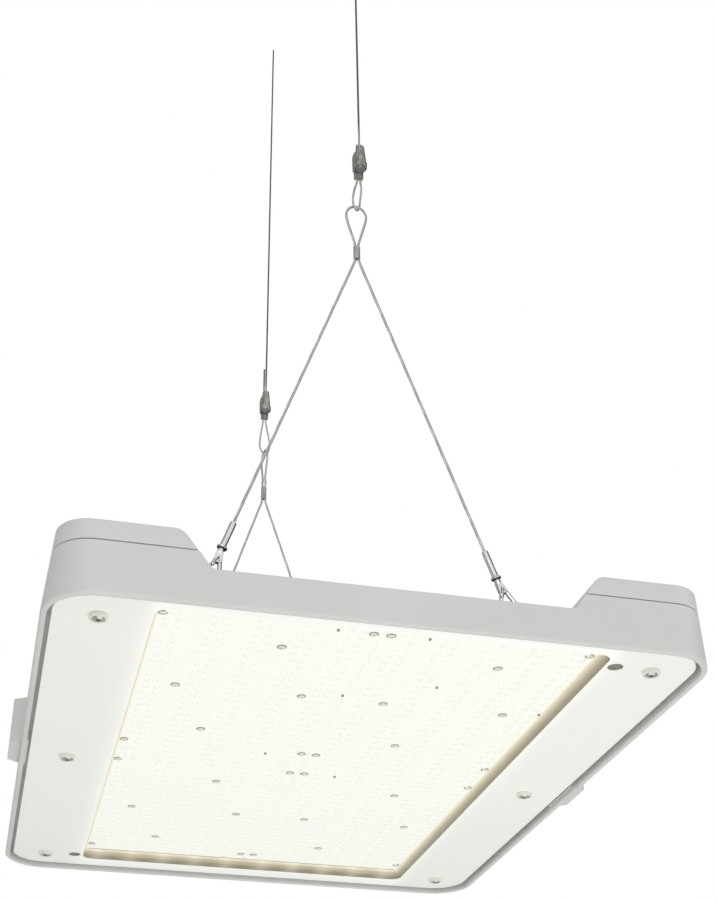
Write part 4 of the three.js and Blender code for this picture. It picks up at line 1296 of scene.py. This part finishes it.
def print_look():
    """White ceramic print with painted light: a faint painted glow all over that brightens along the light
    window.
    """
    look = Look("printed_glass", rgb(0xe6ebe3), 0.3)
    shade = look.math("MULTIPLY", look.mottle(0.985, 1.015, 120, 2), look.mottle(0.99, 1.01, 0.6, 2))
    base = look.shaded(rgb(0xf1f3ed), shade)
    x, y, _ = look.axes()
    # Painted light: distances out from the light window, for a glow that fades away from it.
    left = look.math("MAXIMUM", look.math("MULTIPLY_ADD", x, -1 / MM, -WINDOW_HALF_X), 0)
    right = look.math("MAXIMUM", look.math("MULTIPLY_ADD", x, 1 / MM, -WINDOW_HALF_X), 0)
    near = look.math("MAXIMUM", look.math("MULTIPLY_ADD", y, -1 / MM, -WINDOW_HALF_Y + WINDOW_SHIFT_Y), 0)
    far = look.math("MAXIMUM", look.math("MULTIPLY_ADD", y, 1 / MM, -WINDOW_HALF_Y - WINDOW_SHIFT_Y), 0)
    away = 0.0
    for distance, rate in ((left, 1.6), (right, 2.2), (near, 0.3), (far, 0.3)):
        away = look.math("MULTIPLY_ADD", distance, rate, away)
    painted_window_glow = look.math("EXPONENT", look.math("MULTIPLY", away, -1 / 9))
    # The print glows with painted light, a little everywhere and more near the window.
    look.set(Base_Color=base, Emission_Color=rgb(0xfffef8),
             Emission_Strength=look.math("MULTIPLY_ADD", painted_window_glow, 0.13, 0.125))
    look.set(Roughness=look.mottle(0.25, 0.35, 2, 3), Coat_Weight=0.0)
    look.bump(look.noise(1.5, 2), 0.01)
    return look.material


def reflector_look():
    """Warm white sheet with painted light: bright beside the boards, lit in painted scallops, shading darker
    towards the glass, and with a painted glow on the near flange.
    """
    look = Look("reflector_white", rgb(0xa8a284), 0.55)
    x, y, z = look.axes()
    # Painted light: scallops of light on the walls, one across each diode column.
    span = look.math("ABSOLUTE", look.math("MULTIPLY", x, 1 / MM))
    phase = look.math("PINGPONG", look.math("SUBTRACT", span, LED_COLUMNS[0]), 16)
    painted_scallops = look.math("EXPONENT", look.math("MULTIPLY", look.math("POWER", phase, 2), -1 / 60))
    # Painted light that is strong beside the boards and fades to shade towards the glass.
    depth = look.node("MapRange", {"Value": z, "From Min": (reflector_low.z + 1) * MM,
                                   "From Max": BOARD_FACE * MM, "To Min": 0.0, "To Max": 1.0}).outputs[0]
    light = look.math("MULTIPLY_ADD", look.math("POWER", depth, 1.6), 0.62,
                      look.math("MULTIPLY", painted_scallops, 0.16))
    clouds = look.mottle(0.0, 1.0, 25, 3)
    look.set(Base_Color=look.mix(clouds, rgb(0xaea284), rgb(0xb8ac8f)))
    # A painted glow on the near flange, lifting it out of shade.
    low = look.math("LESS_THAN", z, (reflector_low.z + 1.3) * MM)
    near_flange = look.math("MULTIPLY", low, look.math("LESS_THAN", y, (reflector_low.y + 16) * MM))
    look.set(Emission_Color=look.mix(near_flange, rgb(0xfff5e2), rgb(0xfffff8)),
             Emission_Strength=look.math("MULTIPLY_ADD", near_flange, 0.6, look.math("ADD", light, 0.06)))
    look.bump(look.noise(1.2, 2), 0.02)
    return look.material


def board_look():
    """Circuit board glowing with painted light: warm white, with copper pours that show faintly through the
    lacquer.
    """
    look = Look("board_white", rgb(0xf6f4ea), 0.5)
    bricks = {"Vector": look.place, "Scale": 1.0, "Color1": (1, 1, 1, 1),
              "Color2": (0.985, 0.985, 0.98, 1), "Mortar": (0.96, 0.96, 0.95, 1), "Mortar Size": 0.0004,
              "Brick Width": 0.032, "Row Height": 0.0115}
    tracks = look.node("TexBrick", bricks).outputs[0]
    x = look.axes()[0]
    seam = look.math("LESS_THAN", look.math("ABSOLUTE", x), 0.45 * MM)
    warm = look.mix(look.math("MULTIPLY", seam, 0.25), look.mix(1.0, rgb(0xfffefa), tracks, "MULTIPLY"),
                    rgb(0xcfc6b0))
    # The glow is painted light for the diodes' light on the white lacquer; the copper pattern and the darker
    # joint line are the board's own.
    look.set(Base_Color=rgb(0x8f8d84), Emission_Color=warm, Emission_Strength=0.76)
    look.bump(look.noise(1.5, 2), 0.02)
    return look.material


def lens_look():
    """Lit silicone domes: bright in the middle, a little green, with painted shade on the rim that is
    stronger on the side facing -y.
    """
    look = Look("lens_silicone", rgb(0xf4f4ec), 0.2)
    # Painted shade: darker rims, most on the sides that face -y.
    facing = look.node("LayerWeight", {"Blend": 0.5}).outputs["Facing"]
    rim = look.level(facing, 0, 1, 0.3, 0.8)
    _, side, _ = (look.node("SeparateXYZ", {0: look.node("NewGeometry").outputs["Normal"]}).outputs)
    shade = look.math("MULTIPLY", rim, look.level(side, 1.0, 0.55, -0.6, 0.4))
    look.set(Base_Color=rgb(0x6e6e68), Emission_Color=look.mix(shade, rgb(0xffffff), rgb(0xcfc8b8)),
             Emission_Strength=0.84)
    look.bump(look.noise(0.8, 1), 0.01)
    return look.material


def painted_edge_shade(look, color, start, full, dark, skew=0.0):
    """Paints shade into a colour where the surface turns away from the view, less by skew on the sides that
    face -x or up.
    """
    facing = look.node("LayerWeight", {"Blend": 0.5}).outputs["Facing"]
    away = look.level(facing, 0, 1, start, full)
    across, _, up = look.node("SeparateXYZ", {0: look.node("NewGeometry").outputs["Normal"]}).outputs
    side = look.math("SUBTRACT", across, up)
    share = look.math("MULTIPLY", away, look.level(side, 1 - skew, 1, -0.3, 0.3))
    return look.mix(share, color, dark), share


def chrome_look():
    """Bright plating with painted near-black edges that stand for the reflection of dark studio flags."""
    look = Look("bright_nickel", rgb(0xf4f4f2), 0.12, 1.0)
    streaks = look.mix(look.mottle(0, 1, 3.0, 2, (1, 1, 0.25)), rgb(0xf0f0ee), rgb(0xffffff))
    # Painted reflection: near-black on edges that turn away, with metallic dropped there.
    color, share = painted_edge_shade(look, streaks, 0.15, 0.4, rgb(0x1c1c1a), 0.5)
    look.set(Base_Color=color, Metallic=look.math("SUBTRACT", 1.0, share), Specular_IOR_Level=0.1)
    look.set(Roughness=look.mottle(0.08, 0.16, 2, 3))
    look.bump(look.noise(1.0, 3, (1, 1, 0.25)), 0.006)
    return look.material


def metal_look(name, color, dark, roughness, streak=(1, 1, 1), grain=0.8, depth=0.01, spread=0.3, edges=None,
               painted_shade_above=None):
    """Metal mottled in two colours. edges goes to the edge shading, painted shade where the surface turns
    away; the last argument, (start, full height, tint), paints shade above that height.
    """
    color = rgb(color)
    dark = rgb(dark)
    look = Look(name, color, roughness, 1.0)
    tone = look.mottle(0, 1, grain * 4, 4, streak)
    fine = look.mottle(0, 1, grain, 3, streak)
    both = look.math("MULTIPLY_ADD", tone, 0.6, look.math("MULTIPLY", fine, 0.4))
    mixed = look.mix(both, dark, color)
    # Painted shade, darker above a height.
    if painted_shade_above:
        start, full, tint = painted_shade_above
        high = look.level(look.axes()[2], 0, 1, start * MM, full * MM)
        mixed = look.mix(high, mixed, look.mix(1.0, mixed, tint, "MULTIPLY"))
    # Painted shade on edges that turn away.
    if edges:
        mixed, share = painted_edge_shade(look, mixed, *edges)
        look.set(Metallic=look.math("MULTIPLY_ADD", share, -0.7, 1.0))
    look.set(Base_Color=mixed)
    look.set(Roughness=look.mottle(roughness * (1 - spread), roughness * (1 + spread), grain * 2, 3, streak))
    look.bump(look.noise(grain, 3, streak), depth)
    return look.material


def plastic_look(name, color, light, roughness, grain=0.5, depth=0.02):
    """Smooth plastic or paint, softly mottled between two hexadecimal colours."""
    color = rgb(color)
    light = rgb(light)
    look = Look(name, color, roughness)
    look.set(Base_Color=look.mix(look.mottle(0, 1, 12, 3), color, light))
    look.set(Roughness=look.mottle(roughness * 0.85, roughness * 1.15, 1.5, 2))
    look.bump(look.noise(grain, 2), depth)
    return look.material


PAINT = paint_look()
GLASS = glass_look()
PRINT = print_look()
REFLECTOR = reflector_look()
BOARD = board_look()
LENS = lens_look()
STAINLESS = metal_look("stainless_screw", 0xd9d8d3, 0xb3b2ae, 0.24)
# Olive washers, partly painted shade: the dark ring round each board screw head.
WASHER = plastic_look("pale_washer", 0x9c9a84, 0xa8a690, 0.45)
SCREW_WHITE = plastic_look("white_screw", 0xf0f0ea, 0xf8f8f4, 0.35)
OLIVE = plastic_look("olive_plastic", 0x8c896e, 0x9a977c, 0.5)
CHROME = chrome_look()
PLATED = metal_look("plated_steel", 0xc3c4c2, 0x9fa09d, 0.32)
# Rope: painted shade on edges that turn away, darker on the right where light falls from the left.
ROPE = metal_look("wire_rope", 0xe2e2de, 0xc4c4c0, 0.42, (1, 1, 0.5), 0.6, 0.01,
                  edges=(0.25, 0.7, rgb(0x5c5c58), 0.6))
# Suspension wire: the same painted edge shade, and painted shade on the wire above 540 to 565 mm.
SUSPENSION_WIRE = metal_look("suspension_wire", 0xe2e2de, 0xc4c4c0, 0.42, (1, 1, 0.5), 0.6, 0.01,
                             edges=(0.25, 0.7, rgb(0x5c5c58), 0.6), painted_shade_above=(540, 565, rgb(0x8c8c88)))
# Cast zinc: painted shade on edges that turn away.
ZINC = metal_look("cast_zinc", 0xdedfd9, 0x7c7d75, 0.5, (1.6, 1.6, 0.3), 0.8, 0.08,
                  edges=(0.3, 0.75, rgb(0x3c3c38), 0.4))
COLLAR = plastic_look("white_plastic", 0xececE4, 0xf5f5ef, 0.4)
GREY = plastic_look("grey_plastic", 0x7b7b6c, 0x8a8a7b, 0.6)
GLAND = plastic_look("gland_plastic", 0xb9bbb9, 0xc6c8c6, 0.5)
RUBBER = plastic_look("seal_rubber", 0x6a6c70, 0x76787c, 0.85, 0.8, 0.05)
DRIVER = plastic_look("driver_case", 0xdcdcd8, 0xe8e8e4, 0.45)
SHEATH = plastic_look("cable_jacket", 0x232426, 0x303236, 0.6)
BROWN = plastic_look("core_brown", 0x6b3f22, 0x7a4a2a, 0.45)
BLUE = plastic_look("core_blue", 0x2a4f9c, 0x3560b4, 0.45)
EARTH = plastic_look("core_earth", 0x7f9a2c, 0xa8b53a, 0.45)
COPPER = metal_look("copper", 0xd58b5e, 0xb06a42, 0.3)


# ----------------------------------------
# The object.

def build_luminaire():
    finish_piece(make_housing(), PAINT, "luminaire", ["housing"])
    for side in ("left", "right"):
        finish_piece(make_lid(side), PAINT, "luminaire", [f"driver_lid_{side}"])
        shell_piece(f"lid_screws_{side}", lid_screws(side), STAINLESS, "luminaire")
    shell_piece("glass_pane", make_glass(), GLASS, "luminaire", ["cover_glass"])
    shell_piece("glass_print", make_print(), PRINT, "luminaire")
    shell_piece("opening_frame", make_reflector(), REFLECTOR, "luminaire",
                ["reflector_frame"])
    shell_piece("led_lenses", make_lenses(), LENS, "luminaire")
    screws, washers = make_board_screws()
    shell_piece("board_screws", screws, SCREW_WHITE, "luminaire")
    shell_piece("board_washers", washers, WASHER, "luminaire")
    shell_piece("board_connectors", make_connectors(), OLIVE, "luminaire")


def build_glass_screws():
    for side in ("left", "right"):
        for end in ("near", "middle", "far"):
            x, y, _ = middle_of(f"glass_screw_{end}_{side}")
            screw = Shell()
            torx_screw(screw, at(x, y, 2.2) @ DOWNWARD, 4.15, 2.0)
            shank = Shell(at(x, y))
            shank.turn([(0, 2.3), (2.5, 2.3), (2.5, 17.2), (1.7, 18), (0, 18)])
            made = fuse(mesh_object(f"glass_fixing_{end}_{side}", screw), [mesh_object("shank", shank)])
            finish_piece(made, STAINLESS, "luminaire", [f"glass_screw_{end}_{side}"])
            collar = Shell(at(x, y))
            back = glass_low.z - 0.3
            collar.turn([(4.9, 2.5), (4.9, 1.25), (5.05, 1.0), (5.4, 0.9), (5.9, 0.95), (6.3, 1.2),
                         (6.5, 1.7), (6.55, 2.4), (6.55, back), (4.8, back), (4.8, glass_high.z),
                         (2.9, glass_high.z), (2.9, 2.5)], 48)
            shell_piece(f"glass_washer_{end}_{side}", collar, COLLAR, "luminaire",
                        [f"glass_collar_{end}_{side}"])


def build_vents():
    for end in ("near", "far"):
        low, high = corners(f"vent_plug_{end}")
        x, y, _ = middle_of(f"vent_plug_{end}")
        shell = Shell(at(x, y))
        shell.turn([(0, low.z + 0.35), (3.9, low.z + 0.3), (4.2, low.z), (4.9, low.z), (5.2, low.z + 0.15),
                    (5.3, low.z + 0.4), (5.3, high.z), (0, high.z)])
        shell_piece(f"vent_membrane_{end}", shell, GREY, "luminaire", [f"vent_plug_{end}"])


def build_entry():
    body, nut = make_gland()
    shell_piece("gland_body", body, GLAND, "luminaire", ["cable_gland_body"])
    shell_piece("gland_nut", nut, GLAND, "luminaire", ["cable_gland_nut"])
    sheath, cores = make_cable()
    shell_piece("cable_sheath", sheath, SHEATH, "luminaire", ["mains_cable"])
    for (core, copper), look, name in zip(cores, (BROWN, BLUE, EARTH), ("live", "neutral", "earth")):
        shell_piece(f"cable_core_{name}", core, look, "luminaire")
        shell_piece(f"cable_copper_{name}", copper, COPPER, "luminaire")


def build_lugs():
    for end in ("near", "far"):
        for side in ("left", "right"):
            node = f"suspension_lug_{end}_{side}"
            made = make_lug(end, side)
            made.name = f"lug_{end}_{side}"
            finish_piece(made, PLATED, "luminaire", [node])
            low, high = corners(node)
            inset = LUG_THICK / 2 + LUG_SCREW_INSET
            x = high.x - inset if side == "right" else low.x + inset
            screw = Shell()
            torx_screw(screw, at(x, (low.y + high.y) / 2, low.z + LUG_THICK), 4.4, 2.6)
            shell_piece(f"lug_screw_{end}_{side}", screw, STAINLESS, "luminaire")


def build_suspension(side):
    name = side.name
    bridle = f"{name}_bridle"
    shell_piece(f"{name}_rope", make_bridle_rope(side), ROPE, bridle, [f"{name}_bridle_rope"])
    shell_piece(f"{name}_crimp", make_crimp(side), ZINC, bridle, [f"{name}_bridle_crimp"])
    for hand, sign in (("left", -1), ("right", 1)):
        hook = make_hook(side, sign)
        hook.name = f"{name}_snap_hook_{hand}"
        finish_piece(hook, CHROME, bridle, [f"{name}_hook_{hand}"], 45)
        shell_piece(f"{name}_gate_wire_{hand}", make_gate(side, sign), CHROME, f"{name}_gate_{hand}",
                    [f"{name}_hook_gate_{hand}"], 60)
        shell_piece(f"{name}_swaged_ferrule_{hand}", make_ferrule(side, sign), CHROME, bridle,
                    [f"{name}_ferrule_{hand}"])
    shell_piece(f"{name}_wire_strands", make_wire(side), SUSPENSION_WIRE, f"{name}_wire",
                [f"{name}_suspension_wire"])
    gripper = make_gripper(side)
    gripper.name = f"{name}_gripper_body"
    finish_piece(gripper, ZINC, f"{name}_gripper", [f"{name}_wire_gripper"], 40)
    shell_piece(f"{name}_plunger_ring", make_plunger_ring(side), RUBBER, f"{name}_gripper")
    shell_piece(f"{name}_plunger_button", make_plunger(side), PLATED, f"{name}_plunger",
                [f"{name}_release_plunger"])


def paint_frame_nodes():
    """Materials for the frame nodes that stay."""
    finishes = {
        "led_board": BOARD,
        "lid_seal": RUBBER,
        "glass_seal": RUBBER,
        "led_driver": DRIVER,
        "terminal_block": COLLAR,
    }
    for name, node in frame["nodes"].items():
        for start, material in finishes.items():
            if name.startswith(start):
                node.data.materials.clear()
                node.data.materials.append(material)


# ----------------------------------------
# Studio.

def make_world():
    """White to the camera; soft grey panels with darker flags to everything else."""
    world = bpy.data.worlds.new("studio")
    bpy.context.scene.world = world
    world.use_nodes = True
    tree = world.node_tree
    tree.nodes.clear()
    output = tree.nodes.new("ShaderNodeOutputWorld")
    white = tree.nodes.new("ShaderNodeBackground")
    white.inputs["Color"].default_value = (1, 1, 1, 1)
    room = tree.nodes.new("ShaderNodeBackground")
    coordinates = tree.nodes.new("ShaderNodeTexCoord")
    wave = tree.nodes.new("ShaderNodeTexGradient")
    wave.gradient_type = "RADIAL"
    ramp = tree.nodes.new("ShaderNodeValToRGB")
    tones = ((0.0, 0.3), (0.07, 0.5), (0.15, 0.95), (0.31, 0.95), (0.42, 0.85), (0.5, 0.4), (0.58, 0.6),
             (0.66, 0.8), (0.8, 1.0), (0.92, 0.5), (1.0, 0.3))
    for position, tone in tones:
        stop = ramp.color_ramp.elements.new(position)
        stop.color = (tone, tone, tone, 1)
    tree.links.new(coordinates.outputs["Generated"], wave.inputs["Vector"])
    tree.links.new(wave.outputs["Fac"], ramp.inputs["Fac"])
    tree.links.new(ramp.outputs["Color"], room.inputs["Color"])
    room.inputs["Strength"].default_value = 0.8
    path = tree.nodes.new("ShaderNodeLightPath")
    mix = tree.nodes.new("ShaderNodeMixShader")
    tree.links.new(path.outputs["Is Camera Ray"], mix.inputs[0])
    tree.links.new(room.outputs[0], mix.inputs[1])
    tree.links.new(white.outputs[0], mix.inputs[2])
    tree.links.new(mix.outputs[0], output.inputs[0])


def area_light(name, place, target, size, power):
    data = bpy.data.lights.new(name, "AREA")
    data.shape = "DISK"
    data.size = size
    data.energy = power
    made = bpy.data.objects.new(name, data)
    bpy.context.scene.collection.objects.link(made)
    made.location = place
    made.rotation_euler = (Vector(target) - Vector(place)).to_track_quat("-Z", "Y").to_euler()
    made.visible_camera = False


def make_floor():
    """A plain pale floor, well below the hanging luminaire."""
    half = 6.0
    cells = 12
    bm = bmesh.new()
    bmesh.ops.create_grid(bm, x_segments=cells, y_segments=cells, size=half)
    bmesh.ops.translate(bm, verts=bm.verts, vec=(0, 0, FLOOR_Z))
    mesh = bpy.data.meshes.new("floor")
    bm.to_mesh(mesh)
    bm.free()
    floor = bpy.data.objects.new("floor", mesh)
    bpy.context.scene.collection.objects.link(floor)
    look = Look("floor", rgb(0xeeeeec), 0.7)
    look.set(Base_Color=look.mix(look.mottle(0, 1, 400, 2), rgb(0xececea), rgb(0xf1f1ef)))
    mesh.materials.append(look.material)


def make_camera():
    data = bpy.data.cameras.new("camera")
    camera = bpy.data.objects.new("camera", data)
    bpy.context.scene.collection.objects.link(camera)
    forward = Vector((math.sin(CAMERA_YAW) * math.cos(CAMERA_PITCH),
                      math.cos(CAMERA_YAW) * math.cos(CAMERA_PITCH), math.sin(CAMERA_PITCH)))
    right = Vector((math.cos(CAMERA_YAW), -math.sin(CAMERA_YAW), 0))
    up = right.cross(forward)
    rolled_right = right * math.cos(CAMERA_ROLL) + up * math.sin(CAMERA_ROLL)
    rolled_up = up * math.cos(CAMERA_ROLL) - right * math.sin(CAMERA_ROLL)
    turn = Matrix((rolled_right, rolled_up, -forward)).transposed().to_4x4()
    camera.matrix_world = Matrix.Translation(CAMERA_PLACE) @ turn
    data.lens = CAMERA_LENS
    data.sensor_width = 36.0
    data.shift_x, data.shift_y = CAMERA_SHIFT
    data.clip_start = 0.05
    bpy.context.scene.camera = camera


def make_studio():
    make_world()
    make_floor()
    area_light("key", (-0.35, -2.0, 0.1), (0, -0.1, 0.05), 1.0, 5)
    area_light("under", (0.1, -0.1, -0.96), (0, 0, 0), 1.8, 6.3)
    area_light("fill", (1.8, -1.0, 0.9), (0, 0, 0.2), 1.2, 2.5)
    make_camera()
    bpy.context.scene.view_settings.view_transform = "Standard"
    bpy.context.scene.view_settings.look = "None"


build_luminaire()
build_glass_screws()
build_vents()
build_entry()
build_lugs()
for side_name in ("near", "far"):
    build_suspension(Side(side_name))
paint_frame_nodes()
make_studio()
